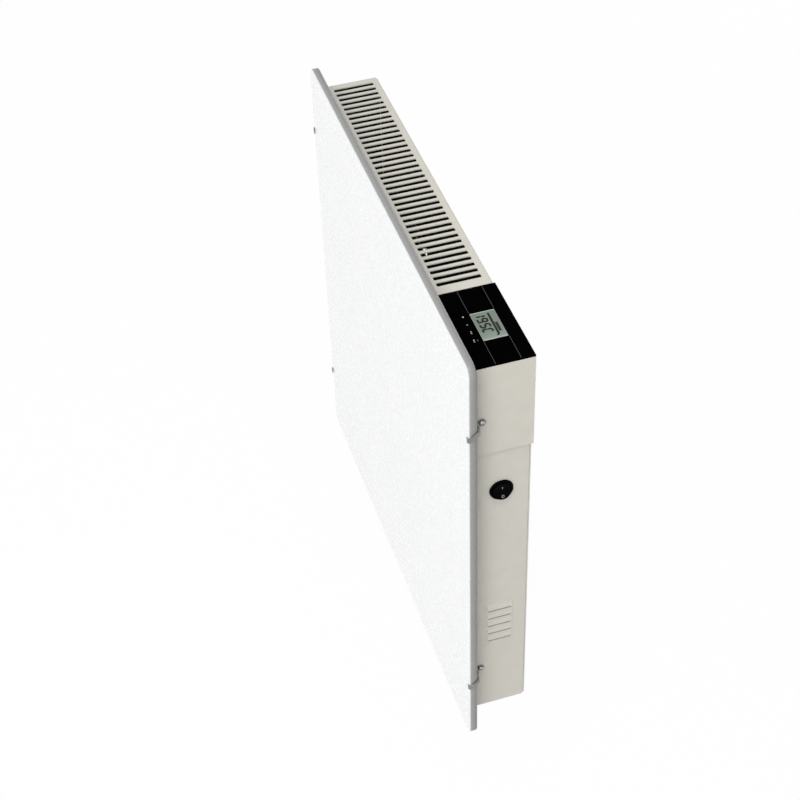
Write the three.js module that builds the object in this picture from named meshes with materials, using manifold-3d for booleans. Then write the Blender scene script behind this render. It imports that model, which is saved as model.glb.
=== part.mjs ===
// Wall panel convector heater, in millimetres.
// X runs to the right as seen from the room, Y towards the wall, Z up.
// The origin is on the wall plane, behind the centre of the front plate.
import * as THREE from 'three';
import { mergeVertices } from 'three/addons/utils/BufferGeometryUtils.js';
import Module from 'manifold-3d';

const wasm = await Module();
wasm.setup();

// ---- Driving dimensions ----
const FIT_GAP = 0.3;

// Front plate
const PLATE_WIDTH = 500;
const PLATE_HEIGHT = 500;
const PLATE_THICKNESS = 8;
const PLATE_CORNER_RADIUS = 12;
const PLATE_EDGE_EASE = 1.6;

// What is stacked behind the plate
const PAD_THICKNESS = 1;
const PAD_DIAMETER = 9;
const MAT_MARGIN = 50;
const MAT_THICKNESS = 1;
const MAT_TAB_WIDTH = 24;
const MAT_TAB_LENGTH = 6;
const BOARD_THICKNESS = 4;
const BOARD_MARGIN = 6;
const REFLECTOR_SHEET = 0.8;
const REFLECTOR_RIM = 5;

// Sheet casing
const CASING_DEPTH = 56;
const CASING_SIDE_INSET = 20.9;
const CASING_TOP_INSET = 16.5;
const CASING_BOTTOM_INSET = 19;
const SHEET = 1.2;
const REAR_FOLD_RADIUS = 2.5;
const FLANGE = 14;
const WALL_GAP = 13;

// Top grille and base inlet
const GRILLE_PITCH = 9;
const GRILLE_SLOT_WIDTH = 5.3;
const GRILLE_SLOT_LENGTH = 42;
const GRILLE_LEFT_MARGIN = 9.1;
const GRILLE_RIGHT_MARGIN = 12.5;
const SLOT_CORNER = 1.1;
const INLET_PITCH = 15;
const INLET_SLOT_WIDTH = 6;
const INLET_SLOT_LENGTH = 36;

// Control end
const CONTROL_WIDTH = 103.3;
const CAP_SHEET = 1;
const CAP_SIDE_GAP = 1.2;
const CAP_HEIGHT = 104;
const CAP_BORDER = 7;
const GLASS_THICKNESS = 1.5;
const WINDOW_WIDTH = 38;
const WINDOW_DEPTH = 23.2;
const WINDOW_LEFT_MARGIN = 33.5;
const WINDOW_FROM_FRONT = 30.7;
const DISPLAY_STACK = 9;
const PCB_THICKNESS = 1.6;
const DISPLAY_FRAME_WALL = 2;
const DISPLAY_FRAME_MARGIN = 8;
const TOUCH_FROM_FRONT = 24.5;
const TOUCH_PITCH = 10.9;
const TOUCH_KEYS = 4;
const TOUCH_KEY_DIAMETER = 6;
const TOUCH_STRIP_THICKNESS = 0.8;

// Round rocker switch
const SWITCH_BELOW_SEAM = 50.5;
const SWITCH_BODY_DIAMETER = 20.6;
const SWITCH_BODY_WALL = 1.4;
const SWITCH_BEZEL_LIP = 1.3;
const SWITCH_BEZEL_THICKNESS = 2;
const SWITCH_BODY_DEPTH = 19;
const SWITCH_WELL_DEPTH = 12;
const ROCKER_TILT_DEG = 9;
const ROCKER_PIVOT_DEPTH = 4;
const ROCKER_PROUD = 1.2;
const ROCKER_SKIRT = 5;
const ROCKER_HUB_RADIUS = 3;
const ROCKER_PIN_RADIUS = 1.4;
const SWITCH_TAB_WIDTH = 6.3;
const SWITCH_TAB_THICKNESS = 0.8;
const SWITCH_TAB_LENGTH = 9;
const SWITCH_TAB_SPACING = 9;

// Side louvres
const LOUVRE_COUNT = 5;
const LOUVRE_PITCH = 11;
const LOUVRE_LENGTH = 25;
const LOUVRE_HEIGHT = 7.6;
const LOUVRE_GAP = 3.2;
const LOUVRE_DEPTH = 2.2;
const LOUVRE_SKIN = 0.8;
const LOUVRE_RISE = 101.7;
const LOUVRE_BOSS = 0.4;
const LOUVRE_BOSS_MARGIN = 1.2;
const LOUVRE_BOSS_DROP = 10;

// Plate clips and their screws
const CLIP_FROM_CORNER = 79.8;
const CLIP_FROM_FRONT = 18;
const CLIP_SHEET = 0.8;
const CLIP_WIDTH = 5.2;
const CLIP_EYE_RADIUS = 4;
const CLIP_BEND = 1.4;
const CLIP_LIP = 3.5;
const CLIP_RISE = 7;
const CLIP_CLIMB = [-0.25, -0.3, -0.2, 0.82, 1, 0.55, 0.12, 0, 0];
const CLIP_LEAN_DEG = [20, 28, 42, 16, 0, 0, 0, 0, 0];
const CLIP_SCREW_RADIUS = 1.8;
const CLIP_SCREW_HEAD_RADIUS = 2.9;
const CLIP_SCREW_HEAD_HEIGHT = 1.8;
const CLIP_SCREW_LENGTH = 7;

// Convector element
const FIN_COUNT = 30;
const FIN_THICKNESS = 1;
const FIN_DEPTH = 32;
const FIN_HEIGHT = 46;
const ELEMENT_CORE = 13;
const ELEMENT_RISE = 66;
const ELEMENT_ROD_RADIUS = 4;
const ELEMENT_ROD_OVERHANG = 13;
const ELEMENT_END_CLEARANCE = 16;
const BRACKET_DEPTH = 34;
const BRACKET_HEIGHT = 60;
const BRACKET_FOOT = 10;
const BUSH_RADIUS = 7;
const BUSH_COLLAR = 2;
const BUSH_COLLAR_LENGTH = 3;

// Wall bracket
const BRACKET_SHEET = 1.5;
const RAIL_WIDTH = 300;
const RAIL_HEIGHT = 40;
const RAIL_DROP = 103.5;
const SPINE_WIDTH = 50;
const HOOK_X = 88;
const HOOK_WIDTH = 40;
const HOOK_LIP = 10;
const HOOK_REACH = 3.4;
const HOOK_SLOT_CLEARANCE = 2;
const LOCK_TAB_LENGTH = 14;
const LOCK_SCREW_FROM_BACK = 5.8;
const LOCK_TAB_WIDTH = 26;
const LOCK_TAB_GAP = 2;
const LOCK_SCREW_RADIUS = 2;
const LOCK_SCREW_HEAD_RADIUS = 4;
const LOCK_SCREW_HEAD_HEIGHT = 2.6;
const LOCK_SCREW_LENGTH = 9;
const WALL_SCREW_RADIUS = 2.6;
const WALL_HEAD_RADIUS = 5.2;
const WALL_HOLE_INSET = 20;
const SPACER_RADIUS = 10;
const SPACER_INSET = 49.1;
const SPACER_RISE = 41;

// Small fasteners of the casing
const REAR_SCREW_RADIUS = 1.5;
const REAR_SCREW_HEAD_RADIUS = 3;
const REAR_SCREW_HEAD_HEIGHT = 1.8;
const REAR_SCREW_LENGTH = 5;
const REAR_SCREW_INSET = 8;
const CAP_SCREW_DROP = 30;
const CAP_SCREW_INSET = 22;

// Electrics in the control end
const PARTITION_FROM_PANEL = 6;
const PARTITION_SHEET = 1;
const PARTITION_FOOT = 10;
const TRAY_WALL = 2;
const TRAY_DEPTH = 10;
const TRAY_WIDTH = 40;
const TRAY_HEIGHT = 100;
const TRAY_DROP = 28.5;
const TRAY_POST_RADIUS = 2.6;
const TRAY_POST_HEIGHT = 4;
const RELAY_SIZE = [15, 19, 15];
const RELAY_DROP = 62;
const SUPPLY_SIZE = [20, 26, 22];
const SUPPLY_DROP = 14;
const OUTPUT_BLOCK_SIZE = [12, 30, 10];
const OUTPUT_BLOCK_DROP = 86;
const TERMINAL_WAYS = 3;
const MAINS_BLOCK_SIZE = [34, 22, 18];
const MAINS_BLOCK_INSET = 75;
const TERMINAL_SCREW_RADIUS = 1.8;
const TERMINAL_SCREW_DEPTH = 3;
const GLAND_INSET = 29.1;
const GLAND_THREAD_RADIUS = 7.5;
const GLAND_BORE_RADIUS = 4;
const GLAND_HEX_RADIUS = 11;
const GLAND_LIP = 2;
const GLAND_HEX_HEIGHT = 6;
const GLAND_DOME_HEIGHT = 9;
const GLAND_THREAD_LENGTH = 9;
const GLAND_NUT_HEIGHT = 4;
const CUTOUT_RADIUS = 8;
const CUTOUT_HEIGHT = 9;
const CUTOUT_COLLAR_RADIUS = 11;
const CUTOUT_COLLAR_HEIGHT = 1.5;
const CUTOUT_RISE = 231;
const CUTOUT_TAB_LENGTH = 7;
const SENSOR_ABOVE_LIP = 19.5;
const SENSOR_RADIUS = 2.5;
const SENSOR_LENGTH = 8;
const SENSOR_HOLDER_WALL = 1.6;
const SENSOR_HOLDER_WIDTH = 14;
const LEAD_RADIUS = 1.3;
const LEAD_STRAIGHT = 12;
const LEAD_BOW = 6;

// How finely rounds are drawn
const SIDES = { lead: 6, screw: 12, small: 16, medium: 20, large: 40 };
const CLIP_STEPS = 28;
const LEAD_STEPS = 24;
const CORNER_STEPS = 9;

// ---- Colours ----
const SATIN_BEIGE = { color: 0xc9c6b9, roughness: 0.62, metalness: 0 };
const WHITE_PLATE = { color: 0xf6f8f7, roughness: 0.3, metalness: 0 };
const BLACK_GLASS = { color: 0x040405, roughness: 0.08, metalness: 0 };
const BLACK_PLASTIC = { color: 0x0b0b0c, roughness: 0.35, metalness: 0 };
const DISPLAY_GREEN = { color: 0x93a394, roughness: 0.3, metalness: 0 };
const BOARD_GREEN = { color: 0x1f5a34, roughness: 0.5, metalness: 0 };
const ZINC_STEEL = { color: 0xa9abad, roughness: 0.35, metalness: 0.9 };
const BRIGHT_STEEL = { color: 0xb9bab8, roughness: 0.25, metalness: 1 };
const ALUMINIUM = { color: 0xc4c7c9, roughness: 0.4, metalness: 0.9 };
const SILICONE_RED = { color: 0x9a3a2c, roughness: 0.7, metalness: 0 };
const SOFT_GREY = { color: 0x6d6f70, roughness: 0.85, metalness: 0 };
const WOOL_BOARD = { color: 0xd8d2c2, roughness: 0.95, metalness: 0 };
const WHITE_CERAMIC = { color: 0xe7e3d8, roughness: 0.45, metalness: 0 };
const NYLON_WHITE = { color: 0xdedcd4, roughness: 0.5, metalness: 0 };
const RELAY_BLUE = { color: 0x23457e, roughness: 0.4, metalness: 0 };
const SUPPLY_YELLOW = { color: 0xb99a35, roughness: 0.5, metalness: 0 };
const BRASS_TAB = { color: 0xb8994f, roughness: 0.35, metalness: 0.9 };
const LEAD_BROWN = { color: 0x5b3a26, roughness: 0.6, metalness: 0 };
const LEAD_BLUE = { color: 0x2b5c9c, roughness: 0.6, metalness: 0 };

// ---- Planes that several pieces share ----
const casingBackFromFront = PLATE_THICKNESS + PAD_THICKNESS + 2 * FIT_GAP + CASING_DEPTH;
const plateFrontY = -(casingBackFromFront + WALL_GAP);
const fromFront = (depth) => plateFrontY + depth;

const casingFrontY = fromFront(PLATE_THICKNESS + PAD_THICKNESS + 2 * FIT_GAP);
const casingBackY = fromFront(casingBackFromFront);
const shellBackY = casingBackY - SHEET - FIT_GAP;
const shellInnerFrontY = casingFrontY + SHEET;
const shellInnerBackY = shellBackY - SHEET;
const casingMidY = (casingFrontY + casingBackY) / 2;
const sideX = PLATE_WIDTH / 2 - CASING_SIDE_INSET;
const casingTop = PLATE_HEIGHT / 2 - CASING_TOP_INSET;
const casingBottom = CASING_BOTTOM_INSET - PLATE_HEIGHT / 2;
const innerX = sideX - SHEET;
const lockScrewY = casingBackY - LOCK_SCREW_FROM_BACK;
const innerTop = casingTop - SHEET;
const innerBottom = casingBottom + SHEET;

const capOuterX = sideX + CAP_SIDE_GAP + CAP_SHEET;
const capBackY = casingBackY + FIT_GAP + CAP_SHEET;
const panelLeftX = capOuterX - CONTROL_WIDTH;
const glassBottomZ = casingTop - GLASS_THICKNESS;
const capTopZ = glassBottomZ - FIT_GAP;
const capUndersideZ = capTopZ - CAP_SHEET;
const capSeamZ = casingTop - CAP_HEIGHT;

const matFrontY = fromFront(PLATE_THICKNESS + FIT_GAP);
const matBackY = matFrontY + MAT_THICKNESS;
const boardFrontY = matBackY + FIT_GAP;
const boardBackY = boardFrontY + BOARD_THICKNESS;
const reflectorFrontY = boardBackY + FIT_GAP;
const reflectorBackY = reflectorFrontY + REFLECTOR_SHEET;

// Sizes and places that follow others
const rockerRadius = SWITCH_BODY_DIAMETER / 2 - SWITCH_BODY_WALL;
const bezelRadius = SWITCH_BODY_DIAMETER / 2 + SWITCH_BEZEL_LIP;
const switchZ = capSeamZ - SWITCH_BELOW_SEAM;
const louvreLipZ = casingBottom + LOUVRE_RISE;
const sensorTopZ = louvreLipZ + SENSOR_ABOVE_LIP;
const clipZ = PLATE_HEIGHT / 2 - CLIP_FROM_CORNER;
const elementZ = casingBottom + ELEMENT_RISE;
const cutoutZ = casingBottom + CUTOUT_RISE;
const railTop = casingTop - RAIL_DROP;
const trayTop = casingTop - TRAY_DROP;
const mainsBlockX = sideX - MAINS_BLOCK_INSET;
const glandX = sideX - GLAND_INSET;

const partitionX = panelLeftX - PARTITION_FROM_PANEL;
const partitionRightX = partitionX + PARTITION_SHEET;
const channelMidY = (reflectorBackY + shellInnerBackY) / 2;

// ---- Solids ----
function toSolid(geometry) {
  const bare = geometry.index ? geometry.toNonIndexed() : geometry.clone();
  for (const name of Object.keys(bare.attributes)) {
    if (name !== 'position') bare.deleteAttribute(name);
  }
  const merged = mergeVertices(bare, 1e-4);
  const vertProperties = new Float32Array(merged.attributes.position.array);
  const triVerts = new Uint32Array(merged.index.array);
  return new wasm.Manifold(new wasm.Mesh({ numProp: 3, vertProperties, triVerts }));
}

function toGeometry(solid) {
  const mesh = solid.getMesh();
  const geometry = new THREE.BufferGeometry();
  const stride = mesh.numProp;
  const count = mesh.vertProperties.length / stride;
  const position = new Float32Array(count * 3);
  for (let i = 0; i < count; i += 1) {
    for (let k = 0; k < 3; k += 1) position[i * 3 + k] = mesh.vertProperties[i * stride + k];
  }
  geometry.setAttribute('position', new THREE.BufferAttribute(position, 3));
  geometry.setIndex(new THREE.BufferAttribute(new Uint32Array(mesh.triVerts), 1));
  geometry.computeVertexNormals();
  return geometry;
}

function box(x0, x1, y0, y1, z0, z1) {
  const geometry = new THREE.BoxGeometry(x1 - x0, y1 - y0, z1 - z0);
  geometry.translate((x0 + x1) / 2, (y0 + y1) / 2, (z0 + z1) / 2);
  return toSolid(geometry);
}

function boxAt(centre, size) {
  const half = size.map((side) => side / 2);
  return box(centre[0] - half[0], centre[0] + half[0], centre[1] - half[1], centre[1] + half[1],
    centre[2] - half[2], centre[2] + half[2]);
}

// A round bar along one axis, from low to high; its centre is given on the other two axes.
const LAY_ALONG = {
  x: (geometry, [y, z], low) => geometry.rotateZ(-Math.PI / 2).translate(low, y, z),
  y: (geometry, [x, z], low) => geometry.translate(x, low, z),
  z: (geometry, [x, y], low) => geometry.rotateX(Math.PI / 2).translate(x, y, low),
};

function bar(axis, radius, centre, low, high, sides = SIDES.medium, highRadius = radius) {
  const geometry = new THREE.CylinderGeometry(highRadius, radius, high - low, sides);
  geometry.translate(0, (high - low) / 2, 0);
  return toSolid(LAY_ALONG[axis](geometry, centre, low));
}

// A prism of an outline drawn in X and Z, between two planes across Y, or of one drawn in X and Y across Z.
function prismAlongY(shape, y0, y1, curveSegments = 6) {
  const geometry = new THREE.ExtrudeGeometry(shape, { depth: y1 - y0, bevelEnabled: false, curveSegments });
  geometry.rotateX(Math.PI / 2);
  geometry.translate(0, y1, 0);
  return toSolid(geometry);
}

function prismAlongZ(shape, z0, z1, curveSegments = 4) {
  const geometry = new THREE.ExtrudeGeometry(shape, { depth: z1 - z0, bevelEnabled: false, curveSegments });
  geometry.translate(0, 0, z0);
  return toSolid(geometry);
}

function roundedRectangle(width, height, radius, centre = [0, 0]) {
  const [x, y] = [centre[0] - width / 2, centre[1] - height / 2];
  const shape = new THREE.Shape();
  shape.moveTo(x + radius, y);
  shape.lineTo(x + width - radius, y);
  shape.absarc(x + width - radius, y + radius, radius, -Math.PI / 2, 0);
  shape.lineTo(x + width, y + height - radius);
  shape.absarc(x + width - radius, y + height - radius, radius, 0, Math.PI / 2);
  shape.lineTo(x + radius, y + height);
  shape.absarc(x + radius, y + height - radius, radius, Math.PI / 2, Math.PI);
  shape.lineTo(x, y + radius);
  shape.absarc(x + radius, y + radius, radius, Math.PI, 1.5 * Math.PI);
  return shape;
}

const polygon = (points) => new THREE.Shape(points.map(([x, y]) => new THREE.Vector2(x, y)));
const join = (solids) => solids.reduce((whole, solid) => whole.add(solid));
const cut = (base, tools) => tools.reduce((whole, tool) => whole.subtract(tool), base);

// A round lead along hand-set points, with a short curve at each of them.
function wire(points, radius, steps, sides) {
  const curve = new THREE.CatmullRomCurve3(points.map((p) => new THREE.Vector3(...p)), false, 'centripetal');
  const section = new THREE.Shape();
  for (let k = 0; k < sides; k += 1) {
    const angle = (2 * Math.PI * k) / sides;
    const spot = [radius * Math.cos(angle), radius * Math.sin(angle)];
    if (k === 0) section.moveTo(...spot);
    else section.lineTo(...spot);
  }
  return toSolid(new THREE.ExtrudeGeometry(section, { steps, extrudePath: curve, bevelEnabled: false }));
}

const heater = new THREE.Group();
heater.name = 'wall_panel_convector_heater';
const rockerPivot = new THREE.Group();
heater.add(rockerPivot);

function place(name, solid, look, parent = heater) {
  const mesh = new THREE.Mesh(toGeometry(solid), new THREE.MeshStandardMaterial(look));
  mesh.name = name;
  parent.add(mesh);
  return mesh;
}

// ---- Front plate and what lies behind it ----
function frontPlate() {
  const core = roundedRectangle(PLATE_WIDTH, PLATE_HEIGHT, PLATE_CORNER_RADIUS);
  const geometry = new THREE.ExtrudeGeometry(core, {
    depth: PLATE_THICKNESS - 2 * PLATE_EDGE_EASE,
    bevelEnabled: true,
    bevelThickness: PLATE_EDGE_EASE,
    bevelSize: PLATE_EDGE_EASE,
    bevelOffset: -PLATE_EDGE_EASE,
    bevelSegments: 2,
    curveSegments: CORNER_STEPS,
  });
  geometry.rotateX(Math.PI / 2);
  geometry.translate(0, plateFrontY + PLATE_THICKNESS - PLATE_EDGE_EASE, 0);
  place('front_plate', toSolid(geometry), WHITE_PLATE);
}

function heatingMat() {
  const matWidth = PLATE_WIDTH - 2 * MAT_MARGIN;
  const matHeight = PLATE_HEIGHT - 2 * MAT_MARGIN;
  const sheet = prismAlongY(roundedRectangle(matWidth, matHeight, FLANGE), matFrontY, matBackY);
  const tabX = partitionX + PARTITION_FOOT;
  const tabBottom = -matHeight / 2 - MAT_TAB_LENGTH;
  const tab = box(tabX, tabX + MAT_TAB_WIDTH, matFrontY, matBackY, tabBottom, -matHeight / 2 + FLANGE);
  place('heating_mat', sheet.add(tab), SILICONE_RED);
}

// The front flange leaves a rectangular opening; the board fills it, and the reflector lies behind.
function openingBox(margin, y0, y1) {
  const reach = FLANGE + margin;
  return box(-sideX + reach, sideX - reach, y0, y1, casingBottom + reach, casingTop - reach);
}

function insulationBoard() {
  place('insulation_board', openingBox(BOARD_MARGIN, boardFrontY, boardBackY), WOOL_BOARD);
}

function heatReflector() {
  const wall = BOARD_MARGIN - FIT_GAP;
  const pan = openingBox(wall - REFLECTOR_SHEET, shellInnerFrontY + FIT_GAP, reflectorBackY);
  const hollow = openingBox(wall, shellInnerFrontY, reflectorFrontY);
  const rimFront = shellInnerFrontY + FIT_GAP;
  const rim = openingBox(wall - REFLECTOR_SHEET - REFLECTOR_RIM, rimFront, rimFront + REFLECTOR_SHEET);
  place('heat_reflector', pan.add(rim).subtract(hollow), ALUMINIUM);
}

function platePads() {
  const inset = FLANGE / 2;
  const padFront = casingFrontY - FIT_GAP - PAD_THICKNESS;
  for (const [index, [sx, sz]] of [[1, 1], [-1, 1], [1, -1], [-1, -1]].entries()) {
    const z = sz > 0 ? casingTop - inset : casingBottom + inset;
    const pad = bar('y', PAD_DIAMETER / 2, [sx * (sideX - inset), z], padFront, padFront + PAD_THICKNESS);
    place(`plate_pad_${index + 1}`, pad, SOFT_GREY);
  }
}

// ---- Casing ----
function slotRow(pitch, width, length, z0, z1) {
  const left = -sideX + GRILLE_LEFT_MARGIN;
  const right = panelLeftX - GRILLE_RIGHT_MARGIN;
  const gaps = Math.floor((right - left) / pitch);
  const firstX = (left + right - gaps * pitch) / 2;
  const slots = [];
  for (let k = 0; k <= gaps; k += 1) {
    const outline = roundedRectangle(width, length, SLOT_CORNER, [firstX + k * pitch, casingMidY]);
    slots.push(prismAlongZ(outline, z0, z1, 1));
  }
  return slots;
}

function louvreProfile(lipZ, inset) {
  const root = sideX - inset;
  return polygon([[root, lipZ], [root + LOUVRE_DEPTH, lipZ], [root, lipZ + LOUVRE_HEIGHT]]);
}

// The louvres stand on a slightly raised block. Each is a hood with closed ends, over a slot below its lip.
function withLouvres(shell) {
  const y0 = casingMidY - LOUVRE_LENGTH / 2;
  const y1 = casingMidY + LOUVRE_LENGTH / 2;
  const [inside0, inside1] = [y0 + LOUVRE_SKIN, y1 - LOUVRE_SKIN];
  const topLip = louvreLipZ + (LOUVRE_COUNT - 1) * LOUVRE_PITCH;
  const block = box(innerX + FIT_GAP, sideX + LOUVRE_BOSS, y0 - LOUVRE_BOSS_MARGIN, y1 + LOUVRE_BOSS_MARGIN,
    louvreLipZ - LOUVRE_BOSS_DROP, topLip + LOUVRE_HEIGHT + LOUVRE_BOSS_MARGIN);
  let pressed = shell.add(block);
  for (let k = 0; k < LOUVRE_COUNT; k += 1) {
    const lipZ = louvreLipZ + k * LOUVRE_PITCH;
    const gap = box(innerX - SHEET, sideX + LOUVRE_DEPTH, inside0, inside1, lipZ - LOUVRE_GAP, lipZ);
    const hood = prismAlongY(louvreProfile(lipZ, FIT_GAP), y0, y1);
    const hollow = prismAlongY(louvreProfile(lipZ - LOUVRE_SKIN, LOUVRE_SKIN), inside0, inside1);
    const slot = box(innerX - SHEET, sideX, inside0, inside1, lipZ - LOUVRE_GAP, lipZ + LOUVRE_HEIGHT / 2);
    pressed = cut(pressed, [gap]).add(hood);
    pressed = cut(pressed, [hollow, slot]);
  }
  return pressed;
}

function clipScrewHoles(radius) {
  const y = fromFront(CLIP_FROM_FRONT);
  const through = [-2 * capOuterX, 2 * capOuterX];
  return [clipZ, -clipZ].map((z) => bar('x', radius, [y, z], ...through, SIDES.small));
}

function rearScrewSpots() {
  const x = sideX - REAR_SCREW_INSET;
  const top = capSeamZ - REAR_SCREW_INSET;
  const bottom = casingBottom + REAR_SCREW_INSET;
  return [[-x, top], [x, top], [-x, bottom], [x, bottom]];
}

function capScrewSpots() {
  const z = casingTop - CAP_SCREW_DROP;
  return [[panelLeftX + CAP_SCREW_INSET, z], [capOuterX - CAP_SCREW_INSET, z]];
}

function capScrewHoles(radius) {
  return capScrewSpots().map((spot) => (
    bar('y', radius, spot, shellInnerBackY - SHEET, capBackY + SHEET, SIDES.small)));
}

// What is taken off the lower rear edge to leave the sheet's round fold.
function rearFold() {
  const far = [-2 * sideX, 2 * sideX];
  const corner = box(...far, shellBackY - REAR_FOLD_RADIUS, shellBackY + SHEET,
    casingBottom - SHEET, casingBottom + REAR_FOLD_RADIUS);
  return corner.subtract(bar('x', REAR_FOLD_RADIUS,
    [shellBackY - REAR_FOLD_RADIUS, casingBottom + REAR_FOLD_RADIUS], ...far, SIDES.large));
}

function casingShell() {
  const outer = box(-sideX, sideX, casingFrontY, shellBackY, casingBottom, casingTop);
  const inner = box(-innerX, innerX, shellInnerFrontY, shellInnerBackY, innerBottom, innerTop);
  const openings = openingBox(0, casingFrontY - SHEET, shellBackY + SHEET);
  const controlGap = capUndersideZ - FIT_GAP;
  const underCap = box(panelLeftX - FIT_GAP, sideX + SHEET, casingFrontY - SHEET, shellBackY + SHEET,
    controlGap, casingTop + SHEET);
  const switchHole = bar('x', SWITCH_BODY_DIAMETER / 2 + FIT_GAP, [casingMidY, switchZ],
    innerX - SHEET, sideX + SHEET, SIDES.large);
  const base = [casingBottom - SHEET, innerBottom + SHEET];
  const glandHole = bar('z', GLAND_THREAD_RADIUS + FIT_GAP, [glandX, casingMidY], ...base, SIDES.medium);
  const lockHole = bar('z', LOCK_SCREW_RADIUS + FIT_GAP, [0, lockScrewY], ...base, SIDES.small);
  const rearHoles = rearScrewSpots().map((spot) => (
    bar('y', REAR_SCREW_RADIUS + FIT_GAP, spot, shellInnerBackY - SHEET, shellBackY + SHEET, SIDES.small)));
  const grille = slotRow(GRILLE_PITCH, GRILLE_SLOT_WIDTH, GRILLE_SLOT_LENGTH,
    innerTop - SHEET, casingTop + SHEET);
  const inlet = slotRow(INLET_PITCH, INLET_SLOT_WIDTH, INLET_SLOT_LENGTH,
    casingBottom - SHEET, innerBottom + SHEET);
  const tools = [inner, openings, underCap, rearFold(), switchHole, glandHole, lockHole, ...rearHoles,
    ...capScrewHoles(REAR_SCREW_RADIUS + FIT_GAP), ...clipScrewHoles(CLIP_SCREW_RADIUS + FIT_GAP),
    ...grille, ...inlet];
  place('casing_shell', withLouvres(cut(outer, tools)), SATIN_BEIGE);
}

function hookSlots() {
  const low = railTop - BRACKET_SHEET - HOOK_LIP - HOOK_SLOT_CLEARANCE;
  const half = HOOK_WIDTH / 2 + HOOK_SLOT_CLEARANCE;
  return [-HOOK_X, HOOK_X].map((x) => (
    box(x - half, x + half, shellBackY, casingBackY + SHEET, low, railTop + FIT_GAP)));
}

function rearPanel() {
  const top = casingTop - SHEET - FIT_GAP;
  const bottom = casingBottom + REAR_FOLD_RADIUS;
  const sheet = box(-sideX, sideX, casingBackY - SHEET, casingBackY, bottom, top);
  const underCap = box(panelLeftX - FIT_GAP, sideX + SHEET, shellBackY, casingBackY + SHEET,
    capUndersideZ - FIT_GAP, casingTop);
  const holes = rearScrewSpots().map((spot) => (
    bar('y', REAR_SCREW_RADIUS + FIT_GAP, spot, shellBackY, casingBackY + SHEET, SIDES.small)));
  place('rear_panel', cut(sheet, [underCap, ...holes, ...hookSlots(),
    ...capScrewHoles(REAR_SCREW_RADIUS + FIT_GAP)]), SATIN_BEIGE);
}

function panScrew(name, spot, seatY) {
  const under = seatY + FIT_GAP;
  const head = bar('y', REAR_SCREW_HEAD_RADIUS, spot, under, under + REAR_SCREW_HEAD_HEIGHT, SIDES.small,
    REAR_SCREW_HEAD_RADIUS / 2);
  const shank = bar('y', REAR_SCREW_RADIUS, spot, under - REAR_SCREW_LENGTH, under + FIT_GAP, SIDES.screw);
  place(name, head.add(shank), ZINC_STEEL);
}

function casingScrews() {
  rearScrewSpots().forEach((spot, index) => panScrew(`rear_screw_${index + 1}`, spot, casingBackY));
  capScrewSpots().forEach((spot, index) => panScrew(`cap_screw_${index + 1}`, spot, capBackY));
}

function partitionWall() {
  const y0 = reflectorBackY + FIT_GAP;
  const y1 = shellInnerBackY - FIT_GAP;
  const z0 = innerBottom + FIT_GAP;
  const z1 = innerTop - FIT_GAP;
  const wall = box(partitionX, partitionRightX, y0, y1, z0, z1);
  const foot = box(partitionX, partitionX + PARTITION_FOOT, y1 - PARTITION_SHEET, y1,
    z0, z1 - PARTITION_FOOT);
  place('partition_wall', wall.add(foot), ZINC_STEEL);
}

// ---- Control end ----
function controlCap() {
  const outer = box(panelLeftX, capOuterX, casingFrontY, capBackY, capSeamZ, capTopZ);
  const inner = box(panelLeftX - CAP_SHEET, capOuterX - CAP_SHEET, casingFrontY - CAP_SHEET,
    capBackY - CAP_SHEET, capSeamZ - CAP_SHEET, capUndersideZ);
  const border = CAP_BORDER;
  const opening = box(panelLeftX + border, capOuterX - border, casingFrontY + border,
    capBackY - border, capUndersideZ - CAP_SHEET, capTopZ + CAP_SHEET);
  place('control_cap', cut(outer, [inner, opening, ...capScrewHoles(REAR_SCREW_RADIUS + FIT_GAP),
    ...clipScrewHoles(CLIP_SCREW_RADIUS + FIT_GAP)]), SATIN_BEIGE);
}

const windowLeftX = panelLeftX + WINDOW_LEFT_MARGIN;
const windowFrontY = fromFront(WINDOW_FROM_FRONT);
const boardTopZ = casingTop - DISPLAY_STACK;
const boardBottomZ = boardTopZ - PCB_THICKNESS;
const frameSides = {
  x0: panelLeftX + DISPLAY_FRAME_MARGIN,
  x1: capOuterX - DISPLAY_FRAME_MARGIN,
  y0: casingFrontY + DISPLAY_FRAME_MARGIN,
  y1: casingBackY - DISPLAY_FRAME_MARGIN,
};

function windowBox(clearance, z0, z1) {
  return box(windowLeftX + clearance, windowLeftX + WINDOW_WIDTH - clearance,
    windowFrontY + clearance, windowFrontY + WINDOW_DEPTH - clearance, z0, z1);
}

function controlGlass() {
  const glass = box(panelLeftX, capOuterX, casingFrontY, capBackY, glassBottomZ, casingTop);
  const window = windowBox(0, glassBottomZ - GLASS_THICKNESS, casingTop + GLASS_THICKNESS);
  place('control_glass', glass.subtract(window), BLACK_GLASS);
}

function lcdModule() {
  place('lcd_module', windowBox(FIT_GAP, boardTopZ + FIT_GAP, casingTop - FIT_GAP), DISPLAY_GREEN);
}

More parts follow.
